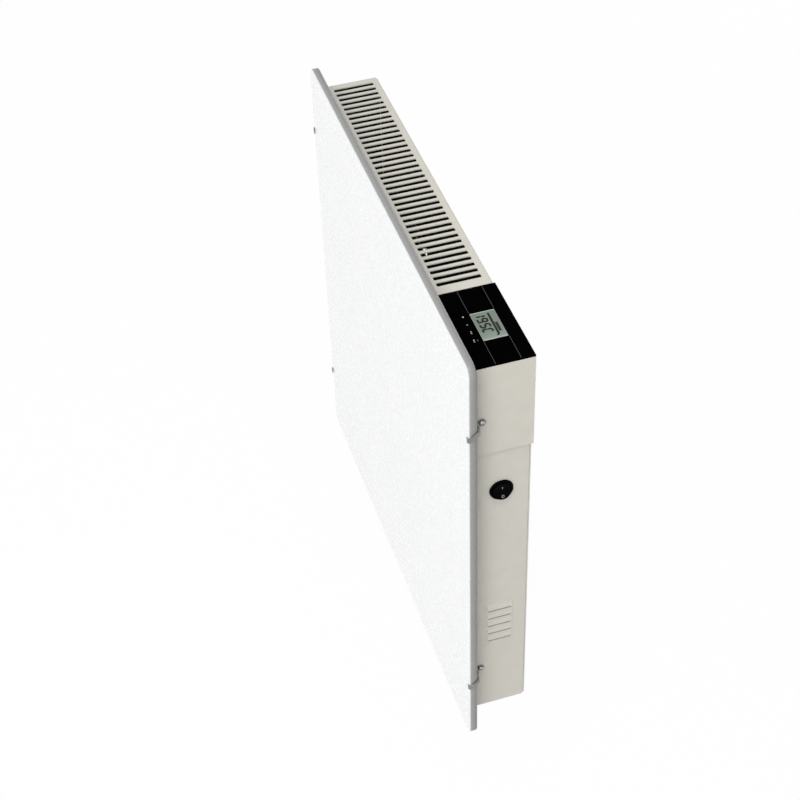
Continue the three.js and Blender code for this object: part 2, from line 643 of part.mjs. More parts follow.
function touchStrip() {
  const firstX = windowLeftX + WINDOW_WIDTH / 2 - ((TOUCH_KEYS - 1) * TOUCH_PITCH) / 2;
  const y = fromFront(TOUCH_FROM_FRONT);
  const top = glassBottomZ - FIT_GAP;
  const pads = [];
  for (let k = 0; k < TOUCH_KEYS; k += 1) {
    const x = firstX + k * TOUCH_PITCH;
    pads.push(bar('z', TOUCH_KEY_DIAMETER / 2, [x, y], top - TOUCH_STRIP_THICKNESS, top, SIDES.small));
  }
  const lastX = firstX + (TOUCH_KEYS - 1) * TOUCH_PITCH;
  const strip = box(firstX, lastX, y - TOUCH_STRIP_THICKNESS, y + TOUCH_STRIP_THICKNESS,
    top - TOUCH_STRIP_THICKNESS, top);
  const legX = (firstX + lastX) / 2;
  const leg = box(legX - TOUCH_KEY_DIAMETER / 2, legX + TOUCH_KEY_DIAMETER / 2,
    y - TOUCH_STRIP_THICKNESS, y, boardTopZ + FIT_GAP, top);
  place('touch_strip', join([strip, leg, ...pads]), BRASS_TAB);
}

// The frame hangs under the cap's top sheet and holds the display board at its lower edge.
function displayFrame() {
  const { x0, x1, y0, y1 } = frameSides;
  const wall = DISPLAY_FRAME_WALL;
  const top = capUndersideZ - FIT_GAP;
  const low = boardBottomZ - wall;
  const ledge = boardBottomZ - FIT_GAP;
  const flange = box(x0 - wall, x1 + wall, y0 - wall, y1 + wall, top - wall, top);
  const outer = box(x0, x1, y0, y1, low, top);
  const pocket = box(x0 + wall, x1 - wall, y0 + wall, y1 - wall, ledge, top + wall);
  const under = box(x0 + 2 * wall, x1 - 2 * wall, y0 + 2 * wall, y1 - 2 * wall, low - wall, ledge + wall);
  place('display_frame', cut(flange.add(outer), [pocket, under]), BLACK_PLASTIC);
}

function displayBoard() {
  const { x0, x1, y0, y1 } = frameSides;
  const edge = DISPLAY_FRAME_WALL + FIT_GAP;
  const board = box(x0 + edge, x1 - edge, y0 + edge, y1 - edge, boardBottomZ, boardTopZ);
  place('display_board', board, BOARD_GREEN);
}

// ---- Power electronics on the partition ----
const trayX = partitionRightX + FIT_GAP;
const trayBoardX = trayX + TRAY_WALL + TRAY_POST_HEIGHT + FIT_GAP;
const traySides = {
  y0: channelMidY - TRAY_WIDTH / 2,
  y1: channelMidY + TRAY_WIDTH / 2,
  z0: trayTop - TRAY_HEIGHT,
  z1: trayTop,
};

function powerTray() {
  const { y0, y1, z0, z1 } = traySides;
  const outer = box(trayX, trayX + TRAY_DEPTH, y0, y1, z0, z1);
  const hollow = box(trayX + TRAY_WALL, trayX + 2 * TRAY_DEPTH, y0 + TRAY_WALL, y1 - TRAY_WALL,
    z0 + TRAY_WALL, z1 - TRAY_WALL);
  const inset = TRAY_WALL + 2 * TRAY_POST_RADIUS;
  const posts = [];
  for (const y of [y0 + inset, y1 - inset]) {
    for (const z of [z0 + inset, z1 - inset]) {
      const top = trayX + TRAY_WALL + TRAY_POST_HEIGHT;
      posts.push(bar('x', TRAY_POST_RADIUS, [y, z], trayX, top, SIDES.screw));
    }
  }
  place('power_board_tray', join([outer.subtract(hollow), ...posts]), NYLON_WHITE);
}

function powerBoard() {
  const { y0, y1, z0, z1 } = traySides;
  const edge = TRAY_WALL + FIT_GAP;
  const board = box(trayBoardX, trayBoardX + PCB_THICKNESS, y0 + edge, y1 - edge, z0 + edge, z1 - edge);
  place('power_board', board, BOARD_GREEN);
}

function onPowerBoard(name, size, drop, look, ways = 0) {
  const x0 = trayBoardX + PCB_THICKNESS + FIT_GAP;
  const z1 = trayTop - drop;
  const body = box(x0, x0 + size[0], channelMidY - size[1] / 2, channelMidY + size[1] / 2, z1 - size[2], z1);
  const step = size[1] / Math.max(ways, 1);
  const holes = [];
  for (let k = 0; k < ways; k += 1) {
    const y = channelMidY - size[1] / 2 + (k + 0.5) * step;
    const faceX = x0 + size[0];
    holes.push(bar('x', TERMINAL_SCREW_RADIUS, [y, z1 - size[2] / 2],
      faceX - TERMINAL_SCREW_DEPTH, faceX + TERMINAL_SCREW_DEPTH, SIDES.screw));
  }
  place(name, cut(body, holes), look);
}

// ---- Supply inlet ----
function mainsBlock() {
  const size = MAINS_BLOCK_SIZE;
  const z0 = innerBottom + FIT_GAP;
  const body = boxAt([mainsBlockX, channelMidY, z0 + size[2] / 2], size);
  const step = size[0] / TERMINAL_WAYS;
  const holes = [];
  for (let k = 0; k < TERMINAL_WAYS; k += 1) {
    const x = mainsBlockX - size[0] / 2 + (k + 0.5) * step;
    for (const side of [-1, 1]) {
      const y = channelMidY + (side * size[1]) / 4;
      const faceZ = z0 + size[2];
      holes.push(bar('z', TERMINAL_SCREW_RADIUS, [x, y],
        faceZ - TERMINAL_SCREW_DEPTH, faceZ + TERMINAL_SCREW_DEPTH, SIDES.screw));
    }
  }
  place('mains_terminal_block', cut(body, holes), NYLON_WHITE);
}

function cableGland() {
  const spot = [glandX, casingMidY];
  const under = casingBottom - FIT_GAP;
  const domeTop = under - GLAND_HEX_HEIGHT;
  const hex = bar('z', GLAND_HEX_RADIUS, spot, domeTop, under, 6);
  const domeLow = domeTop - GLAND_DOME_HEIGHT;
  const dome = bar('z', GLAND_BORE_RADIUS + GLAND_LIP, spot, domeLow, domeTop, SIDES.medium,
    GLAND_HEX_RADIUS * Math.cos(Math.PI / 6));
  const thread = bar('z', GLAND_THREAD_RADIUS, spot, under, under + GLAND_THREAD_LENGTH, SIDES.medium);
  const bore = bar('z', GLAND_BORE_RADIUS, spot, domeTop - 2 * GLAND_DOME_HEIGHT,
    under + 2 * GLAND_THREAD_LENGTH, SIDES.small);
  place('cable_gland', join([hex, dome, thread]).subtract(bore), BLACK_PLASTIC);
  const nutBottom = innerBottom + FIT_GAP;
  const nut = bar('z', GLAND_HEX_RADIUS, spot, nutBottom, nutBottom + GLAND_NUT_HEIGHT, 6);
  const hole = bar('z', GLAND_THREAD_RADIUS + FIT_GAP, spot, innerBottom - SHEET,
    nutBottom + 2 * GLAND_NUT_HEIGHT, SIDES.medium);
  place('gland_nut', nut.subtract(hole), BLACK_PLASTIC);
}

// ---- Rocker switch ----
const bezelX = sideX + FIT_GAP;
const bezelFaceX = bezelX + SWITCH_BEZEL_THICKNESS;
const pivotX = bezelFaceX - ROCKER_PIVOT_DEPTH;
const rockerTilt = THREE.MathUtils.degToRad(ROCKER_TILT_DEG);
// The rim of the tipped rocker sweeps this far out at a given height over its pivot.
const wellRadius = (height) => (
  rockerRadius / Math.cos(rockerTilt) + height * Math.tan(rockerTilt) + FIT_GAP);

function rockerHousing() {
  const spot = [casingMidY, switchZ];
  const bezel = bar('x', bezelRadius, spot, bezelX, bezelFaceX, SIDES.large,
    bezelRadius - SWITCH_BEZEL_THICKNESS / 3);
  const body = bar('x', SWITCH_BODY_DIAMETER / 2, spot, bezelFaceX - SWITCH_BODY_DEPTH,
    bezelX + FIT_GAP, SIDES.large);
  const well = bar('x', wellRadius(0), spot, bezelFaceX - SWITCH_WELL_DEPTH, pivotX, SIDES.large);
  const mouth = bar('x', wellRadius(0), spot, pivotX, bezelFaceX + SWITCH_BEZEL_THICKNESS, SIDES.large,
    wellRadius(ROCKER_PIVOT_DEPTH + SWITCH_BEZEL_THICKNESS));
  const sockets = bar('y', ROCKER_PIN_RADIUS + FIT_GAP, [pivotX, switchZ],
    casingMidY - SWITCH_BODY_DIAMETER, casingMidY + SWITCH_BODY_DIAMETER, SIDES.medium);
  place('rocker_housing', cut(bezel.add(body), [well, mouth, sockets]), BLACK_PLASTIC);
}

// The rocker is drawn level about its pivot, then tipped to its ON rest.
function rocker() {
  const radius = rockerRadius;
  const rise = radius * Math.tan(rockerTilt);
  const crownX = ROCKER_PIVOT_DEPTH + ROCKER_PROUD;
  const face = polygon([[crownX, 0], [crownX + rise, radius], [crownX - ROCKER_SKIRT, radius],
    [-ROCKER_HUB_RADIUS, ROCKER_HUB_RADIUS], [-ROCKER_HUB_RADIUS, -ROCKER_HUB_RADIUS],
    [crownX - ROCKER_SKIRT, -radius], [crownX + rise, -radius]]);
  const wedge = prismAlongY(face, -radius, radius);
  const round = bar('x', radius, [0, 0], -2 * radius, 2 * radius, SIDES.large);
  const pinReach = SWITCH_BODY_DIAMETER / 2;
  const pins = bar('y', ROCKER_PIN_RADIUS, [0, 0], -pinReach, pinReach, SIDES.small);
  rockerPivot.position.set(pivotX, casingMidY, switchZ);
  rockerPivot.rotation.y = -rockerTilt;
  place('rocker', wedge.intersect(round).add(pins), BLACK_PLASTIC, rockerPivot);
}

function switchTabs() {
  const x1 = bezelFaceX - SWITCH_BODY_DEPTH - FIT_GAP;
  for (const [index, side] of [1, -1].entries()) {
    const z = switchZ + (side * SWITCH_TAB_SPACING) / 2;
    const tab = boxAt([x1 - SWITCH_TAB_LENGTH / 2, casingMidY, z],
      [SWITCH_TAB_LENGTH, SWITCH_TAB_WIDTH, SWITCH_TAB_THICKNESS]);
    place(`switch_tab_${index + 1}`, tab, BRASS_TAB);
  }
}

// ---- Room sensor behind the louvres ----
function roomSensor() {
  const x1 = innerX - FIT_GAP;
  const wall = SENSOR_HOLDER_WALL;
  const half = SENSOR_HOLDER_WIDTH / 2;
  const cupRadius = SENSOR_RADIUS + FIT_GAP + wall;
  const bodyX = x1 - 2 * cupRadius;
  const sensorX = x1 - wall - cupRadius;
  const top = louvreLipZ - LOUVRE_HEIGHT;
  const foot = box(x1 - wall, x1, casingMidY - half, casingMidY + half, top - 2 * half, top);
  const arm = box(bodyX - wall, x1, casingMidY - half / 2, casingMidY + half / 2, top - wall, top);
  const post = box(bodyX - wall, bodyX, casingMidY - half / 2, casingMidY + half / 2,
    top - wall, sensorTopZ);
  const spot = [sensorX, casingMidY];
  const cup = bar('z', cupRadius, spot, sensorTopZ - SENSOR_LENGTH, sensorTopZ, SIDES.medium);
  const bore = bar('z', SENSOR_RADIUS + FIT_GAP, spot, sensorTopZ - SENSOR_LENGTH + wall,
    sensorTopZ + wall, SIDES.small);
  const link = box(bodyX - wall, sensorX - SENSOR_RADIUS - FIT_GAP, casingMidY - wall, casingMidY + wall,
    sensorTopZ - SENSOR_LENGTH, sensorTopZ);
  place('sensor_holder', join([foot, arm, post, link, cup]).subtract(bore), BLACK_PLASTIC);
  const bead = bar('z', SENSOR_RADIUS, spot, sensorTopZ - SENSOR_LENGTH + wall + FIT_GAP,
    sensorTopZ + wall, SIDES.small);
  place('room_sensor', bead, BLACK_PLASTIC);
}

// ---- Convector element ----
const elementX0 = -innerX + ELEMENT_END_CLEARANCE;
const elementX1 = partitionX - ELEMENT_END_CLEARANCE;

function convectorElement() {
  const core = box(elementX0, elementX1, channelMidY - ELEMENT_CORE / 2, channelMidY + ELEMENT_CORE / 2,
    elementZ - ELEMENT_CORE / 2, elementZ + ELEMENT_CORE / 2);
  const pitch = (elementX1 - elementX0 - FIN_THICKNESS) / (FIN_COUNT - 1);
  const fins = [];
  for (let k = 0; k < FIN_COUNT; k += 1) {
    const x = elementX0 + FIN_THICKNESS / 2 + k * pitch;
    fins.push(boxAt([x, channelMidY, elementZ], [FIN_THICKNESS, FIN_DEPTH, FIN_HEIGHT]));
  }
  const spot = [channelMidY, elementZ];
  const bore = bar('x', ELEMENT_ROD_RADIUS + FIT_GAP, spot, elementX0 - FIN_THICKNESS,
    elementX1 + FIN_THICKNESS, SIDES.small);
  place('convector_fins', join([core, ...fins]).subtract(bore), ALUMINIUM);
  const rod = bar('x', ELEMENT_ROD_RADIUS, spot, elementX0 - ELEMENT_ROD_OVERHANG,
    elementX1 + ELEMENT_ROD_OVERHANG, SIDES.small);
  place('heating_rod', rod, BRIGHT_STEEL);
}

// A bracket stands at each end of the element, screwed to the wall beside it, and holds a bush.
function elementEnd(side, wallX, endX) {
  const outward = side === 'left' ? -1 : 1;
  const plateX = endX + outward * (BUSH_COLLAR_LENGTH + 2 * FIT_GAP);
  const sorted = (a, b) => [Math.min(a, b), Math.max(a, b)];
  const [p0, p1] = sorted(plateX, plateX + outward * SHEET);
  const [f0, f1] = sorted(plateX, wallX - outward * FIT_GAP);
  const z0 = elementZ - BRACKET_HEIGHT / 2;
  const z1 = elementZ + BRACKET_HEIGHT / 2;
  const plate = box(p0, p1, channelMidY - BRACKET_DEPTH / 2, channelMidY + BRACKET_DEPTH / 2, z0, z1);
  const arm = box(f0, f1, channelMidY - BRACKET_DEPTH / 2, channelMidY + BRACKET_DEPTH / 2, z1 - SHEET, z1);
  const [e0, e1] = sorted(wallX - outward * FIT_GAP, wallX - outward * (FIT_GAP + SHEET));
  const foot = box(e0, e1, channelMidY - BRACKET_DEPTH / 2, channelMidY + BRACKET_DEPTH / 2,
    z1 - SHEET, z1 + BRACKET_FOOT);
  const spot = [channelMidY, elementZ];
  const hole = bar('x', BUSH_RADIUS + FIT_GAP, spot, p0 - SHEET, p1 + SHEET, SIDES.medium);
  place(`element_bracket_${side}`, join([plate, arm, foot]).subtract(hole), ZINC_STEEL);
  const [c0, c1] = sorted(endX + outward * FIT_GAP, endX + outward * (FIT_GAP + BUSH_COLLAR_LENGTH));
  const collar = bar('x', BUSH_RADIUS + BUSH_COLLAR, spot, c0, c1, SIDES.medium);
  const [b0, b1] = sorted(endX + outward * FIT_GAP, plateX + outward * (SHEET + BUSH_COLLAR));
  const bush = bar('x', BUSH_RADIUS, spot, b0, b1, SIDES.medium);
  const bore = bar('x', ELEMENT_ROD_RADIUS + FIT_GAP, spot, b0 - BUSH_COLLAR, b1 + BUSH_COLLAR, SIDES.small);
  place(`element_bush_${side}`, collar.add(bush).subtract(bore), WHITE_CERAMIC);
}

function thermalCutout() {
  const x0 = partitionRightX + FIT_GAP;
  const spot = [channelMidY, cutoutZ];
  const collar = bar('x', CUTOUT_COLLAR_RADIUS, spot, x0, x0 + CUTOUT_COLLAR_HEIGHT, SIDES.medium);
  const body = bar('x', CUTOUT_RADIUS, spot, x0, x0 + CUTOUT_HEIGHT, SIDES.medium);
  const tabs = [-1, 1].map((side) => boxAt(
    [x0 + CUTOUT_HEIGHT + CUTOUT_TAB_LENGTH / 2, channelMidY, cutoutZ + (side * CUTOUT_RADIUS) / 2],
    [CUTOUT_TAB_LENGTH + SWITCH_TAB_THICKNESS, SWITCH_TAB_WIDTH, SWITCH_TAB_THICKNESS]));
  place('thermal_cutout', join([collar, body, ...tabs]), BLACK_PLASTIC);
}

// ---- Plate clips ----
// A strip of sheet along points, its broad side upright but for a lean in degrees at each of them.
function bentStrip(points, leans, thickness, width) {
  const curve = new THREE.CatmullRomCurve3(points.map((p) => new THREE.Vector3(...p)), false, 'centripetal');
  const corners = [[1, 1], [-1, 1], [-1, -1], [1, -1]];
  const count = corners.length;
  const position = [];
  const index = [];
  curve.getPoints(CLIP_STEPS).forEach((spot, k) => {
    const reached = (k / CLIP_STEPS) * (leans.length - 1);
    const from = Math.min(Math.floor(reached), leans.length - 2);
    const lean = THREE.MathUtils.degToRad(THREE.MathUtils.lerp(leans[from], leans[from + 1], reached - from));
    const broad = new THREE.Vector3(0, -Math.sin(lean), Math.cos(lean)).multiplyScalar(width / 2);
    const thin = broad.clone().cross(curve.getTangent(k / CLIP_STEPS)).setLength(thickness / 2);
    for (const [across, up] of corners) {
      position.push(...spot.clone().addScaledVector(thin, across).addScaledVector(broad, up).toArray());
    }
  });
  // Opposite faces are split along the same diagonal, so that a twist doesn't thin the strip.
  for (let k = 0; k < CLIP_STEPS; k += 1) {
    for (let j = 0; j < count; j += 1) {
      const [a, b] = [k * count + j, k * count + ((j + 1) % count)];
      const halves = j < count / 2 ? [a, b, a + count, b, b + count, a + count]
        : [a, b, b + count, a, b + count, a + count];
      index.push(...halves);
    }
  }
  const end = CLIP_STEPS * count;
  index.push(0, 2, 1, 0, 3, 2, end, end + 1, end + 2, end, end + 2, end + 3);
  const geometry = new THREE.BufferGeometry();
  geometry.setAttribute('position', new THREE.Float32BufferAttribute(position, 3));
  geometry.setIndex(index);
  return toSolid(geometry);
}

// A clip's eye lies against the side; its leg climbs outwards behind the plate, then runs down and round
// the plate's edge to a lip over the front.
function plateClip(index, side, seatX, z) {
  const half = CLIP_SHEET / 2;
  const gap = half + FIT_GAP;
  const eyeY = fromFront(CLIP_FROM_FRONT);
  const eyeX = seatX + gap;
  const holeRadius = CLIP_SCREW_RADIUS + FIT_GAP;
  const outwards = (radiusIn, from, to, sides, radiusOut = radiusIn) => (side > 0
    ? bar('x', radiusIn, [eyeY, z], from, to, sides, radiusOut)
    : bar('x', radiusOut, [eyeY, z], -to, -from, sides, radiusIn));

  const edgeX = PLATE_WIDTH / 2 + gap;
  const backY = fromFront(PLATE_THICKNESS) + gap;
  const frontY = plateFrontY - gap;
  const legY = eyeY - (CLIP_EYE_RADIUS + holeRadius) / 2;
  const points = [[eyeX, legY], [eyeX + half, legY - CLIP_SHEET], [eyeX + CLIP_BEND, legY - CLIP_BEND],
    [edgeX - CLIP_BEND, backY + CLIP_BEND / 2], [edgeX, backY], [edgeX + half, (backY + frontY) / 2],
    [edgeX, frontY + CLIP_BEND], [edgeX - CLIP_BEND, frontY], [PLATE_WIDTH / 2 - CLIP_LIP, frontY - half]];
  const path = points.map(([x, y], k) => [side * x, y, z + CLIP_RISE * CLIP_CLIMB[k]]);
  const leg = bentStrip(path, CLIP_LEAN_DEG, CLIP_SHEET, CLIP_WIDTH);
  const eye = outwards(CLIP_EYE_RADIUS, eyeX - half, eyeX + half, SIDES.medium);
  const hole = outwards(holeRadius, eyeX - CLIP_SHEET, eyeX + CLIP_SHEET, SIDES.small);
  place(`plate_clip_${index}`, eye.add(leg).subtract(hole), BRIGHT_STEEL);

  const headX = eyeX + gap;
  const rimX = headX + CLIP_SCREW_HEAD_HEIGHT / 3;
  const shank = outwards(CLIP_SCREW_RADIUS, headX - CLIP_SCREW_LENGTH, headX + FIT_GAP, SIDES.screw);
  const skirt = outwards(CLIP_SCREW_HEAD_RADIUS, headX, rimX, SIDES.medium);
  const dome = outwards(CLIP_SCREW_HEAD_RADIUS, rimX, headX + CLIP_SCREW_HEAD_HEIGHT, SIDES.medium,
    CLIP_SCREW_HEAD_RADIUS / 2);
  place(`clip_screw_${index}`, join([shank, skirt, dome]), BRIGHT_STEEL);
}

function plateClips() {
  plateClip(1, 1, capOuterX, clipZ);
  plateClip(2, 1, sideX, -clipZ);
  plateClip(3, -1, sideX, clipZ);
  plateClip(4, -1, sideX, -clipZ);
}

// ---- Wall bracket ----
const lockTabTop = casingBottom - LOCK_TAB_GAP;

function wallHole(x, z) {
  const through = [-2 * BRACKET_SHEET, BRACKET_SHEET];
  const entry = bar('y', WALL_HEAD_RADIUS, [x, z - WALL_HEAD_RADIUS], ...through);
  const neck = box(x - WALL_SCREW_RADIUS, x + WALL_SCREW_RADIUS, ...through,
    z - WALL_HEAD_RADIUS, z + WALL_HEAD_RADIUS);
  return entry.add(neck);
}

function wallBracket() {
  const railBottom = railTop - RAIL_HEIGHT;
  const tabFrontY = casingBackY - LOCK_TAB_LENGTH;
  const rail = box(-RAIL_WIDTH / 2, RAIL_WIDTH / 2, -BRACKET_SHEET, 0, railBottom, railTop);
  const spine = box(-SPINE_WIDTH / 2, SPINE_WIDTH / 2, -BRACKET_SHEET, 0,
    lockTabTop - BRACKET_SHEET, railTop);
  const tab = box(-LOCK_TAB_WIDTH / 2, LOCK_TAB_WIDTH / 2, tabFrontY, 0,
    lockTabTop - BRACKET_SHEET, lockTabTop);
  const lipFrontY = casingBackY - SHEET - HOOK_REACH;
  const hooks = [-HOOK_X, HOOK_X].flatMap((x) => [
    box(x - HOOK_WIDTH / 2, x + HOOK_WIDTH / 2, lipFrontY, 0, railTop - BRACKET_SHEET, railTop),
    box(x - HOOK_WIDTH / 2, x + HOOK_WIDTH / 2, lipFrontY, lipFrontY + BRACKET_SHEET,
      railTop - BRACKET_SHEET, railTop + HOOK_LIP),
  ]);
  const railX = RAIL_WIDTH / 2 - WALL_HOLE_INSET;
  const railZ = railTop - RAIL_HEIGHT / 2;
  const holes = [wallHole(-railX, railZ), wallHole(railX, railZ),
    wallHole(0, lockTabTop + 2 * WALL_HOLE_INSET),
    bar('z', LOCK_SCREW_RADIUS + FIT_GAP, [0, lockScrewY], lockTabTop - 2 * BRACKET_SHEET,
      lockTabTop + BRACKET_SHEET, SIDES.small)];
  place('wall_bracket', cut(join([rail, spine, tab, ...hooks]), holes), ZINC_STEEL);
}

function lockScrew() {
  const under = lockTabTop - BRACKET_SHEET - FIT_GAP;
  const spot = [0, lockScrewY];
  const head = bar('z', LOCK_SCREW_HEAD_RADIUS / 2, spot, under - LOCK_SCREW_HEAD_HEIGHT, under, SIDES.medium,
    LOCK_SCREW_HEAD_RADIUS);
  const shank = bar('z', LOCK_SCREW_RADIUS, spot, under - FIT_GAP, under + LOCK_SCREW_LENGTH, SIDES.screw);
  place('lock_screw', head.add(shank), ZINC_STEEL);
}

function wallSpacers() {
  const y0 = casingBackY + FIT_GAP;
  for (const [name, side] of [['left', -1], ['right', 1]]) {
    const spot = [side * (sideX - SPACER_INSET), casingBottom + SPACER_RISE];
    const foot = bar('y', SPACER_RADIUS, spot, y0, 0, SIDES.medium);
    place(`wall_spacer_${name}`, foot, SOFT_GREY);
  }
}

// ---- Internal leads ----
// Each lead rises straight out of its terminal, sags a little on the way and enters the other end square.
function lead(name, from, leave, to, arrive, look) {
  const start = new THREE.Vector3(...from);
  const end = new THREE.Vector3(...to);
  const out = new THREE.Vector3(...leave).multiplyScalar(LEAD_STRAIGHT).add(start);
  const back = new THREE.Vector3(...arrive).multiplyScalar(LEAD_STRAIGHT).add(end);
  const low = new THREE.Vector3().lerpVectors(out, back, 1 / 3);
  const high = new THREE.Vector3().lerpVectors(out, back, 2 / 3);
  low.x += LEAD_BOW;
  high.x += LEAD_BOW / 2;
  const points = [start, out, low, high, back, end].map((p) => p.toArray());
  place(name, wire(points, LEAD_RADIUS, LEAD_STEPS, SIDES.lead), look);
}

function leads() {
  const blockTop = innerBottom + 2 * FIT_GAP + MAINS_BLOCK_SIZE[2];
  const blockY = channelMidY + MAINS_BLOCK_SIZE[1] / 4;
  const liveX = mainsBlockX + MAINS_BLOCK_SIZE[0] / TERMINAL_WAYS;
  const neutralX = mainsBlockX;
  const tabX = bezelFaceX - SWITCH_BODY_DEPTH - SWITCH_TAB_LENGTH - 2 * FIT_GAP;
  const lowTab = [tabX, casingMidY, switchZ - SWITCH_TAB_SPACING / 2];
  const highTab = [tabX, casingMidY, switchZ + SWITCH_TAB_SPACING / 2];
  const outputX = trayBoardX + PCB_THICKNESS + 2 * FIT_GAP + OUTPUT_BLOCK_SIZE[0];
  const outputZ = trayTop - OUTPUT_BLOCK_DROP - OUTPUT_BLOCK_SIZE[2] / 2;
  const way = OUTPUT_BLOCK_SIZE[1] / TERMINAL_WAYS;
  const up = [0, 0, 1];
  const left = [-1, 0, 0];
  const right = [1, 0, 0];
  lead('lead_supply', [liveX, blockY, blockTop], up, lowTab, left, LEAD_BROWN);
  lead('lead_switched', highTab, left, [outputX, channelMidY + way, outputZ], right, LEAD_BROWN);
  lead('lead_neutral', [neutralX, channelMidY - MAINS_BLOCK_SIZE[1] / 4, blockTop], up,
    [outputX, channelMidY - way, outputZ], right, LEAD_BLUE);
}

frontPlate();
platePads();
heatingMat();
insulationBoard();
heatReflector();
casingShell();
rearPanel();
casingScrews();
partitionWall();
controlCap();
controlGlass();
lcdModule();
touchStrip();
displayFrame();
displayBoard();
powerTray();
powerBoard();
onPowerBoard('relay', RELAY_SIZE, RELAY_DROP, RELAY_BLUE);
onPowerBoard('supply_module', SUPPLY_SIZE, SUPPLY_DROP, SUPPLY_YELLOW);
onPowerBoard('output_terminals', OUTPUT_BLOCK_SIZE, OUTPUT_BLOCK_DROP, NYLON_WHITE, TERMINAL_WAYS);
mainsBlock();
cableGland();
rockerHousing();
rocker();
switchTabs();
roomSensor();
convectorElement();
elementEnd('left', -innerX, elementX0);
elementEnd('right', partitionX, elementX1);
thermalCutout();
plateClips();
wallBracket();
lockScrew();
wallSpacers();
leads();

export default heater;
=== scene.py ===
import math

import bmesh
import bpy
from mathutils import Matrix, Vector


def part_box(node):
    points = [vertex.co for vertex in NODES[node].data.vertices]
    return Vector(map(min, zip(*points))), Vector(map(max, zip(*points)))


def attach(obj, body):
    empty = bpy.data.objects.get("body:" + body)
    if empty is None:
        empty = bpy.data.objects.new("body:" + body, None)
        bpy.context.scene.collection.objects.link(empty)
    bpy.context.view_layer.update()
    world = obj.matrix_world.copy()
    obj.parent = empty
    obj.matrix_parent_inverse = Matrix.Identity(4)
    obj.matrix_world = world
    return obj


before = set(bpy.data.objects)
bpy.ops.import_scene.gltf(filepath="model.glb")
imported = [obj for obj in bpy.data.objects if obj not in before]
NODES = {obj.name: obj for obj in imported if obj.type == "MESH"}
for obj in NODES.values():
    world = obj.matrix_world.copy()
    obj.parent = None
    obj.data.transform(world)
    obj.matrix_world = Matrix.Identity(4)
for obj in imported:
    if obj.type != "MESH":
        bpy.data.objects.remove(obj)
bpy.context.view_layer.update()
MM = 0.001
scene = bpy.context.scene
scene.view_settings.view_transform = "Standard"


# ---- Camera: the photograph's view, solved from its straight edges ----
CAMERA_PLACE = (1.2450, -0.4197, 1.1964)
CAMERA_RIGHT = (0.2991, 0.9537, -0.0304)
CAMERA_BACK = (0.7053, -0.1995, 0.6802)
CAMERA_SENSOR = 36.0
CAMERA_LENS = 77.35
CAMERA_NEAR = 0.05


def make_camera():
    data = bpy.data.cameras.new("camera")
    data.sensor_width = CAMERA_SENSOR
    data.lens = CAMERA_LENS
    data.clip_start = CAMERA_NEAR
    back = Vector(CAMERA_BACK).normalized()
    up = back.cross(Vector(CAMERA_RIGHT).normalized()).normalized()
    right = up.cross(back)
    turn = Matrix((right, up, back)).transposed().to_4x4()
    camera = bpy.data.objects.new("camera", data)
    camera.matrix_world = Matrix.Translation(CAMERA_PLACE) @ turn
    scene.collection.objects.link(camera)
    scene.camera = camera


make_camera()


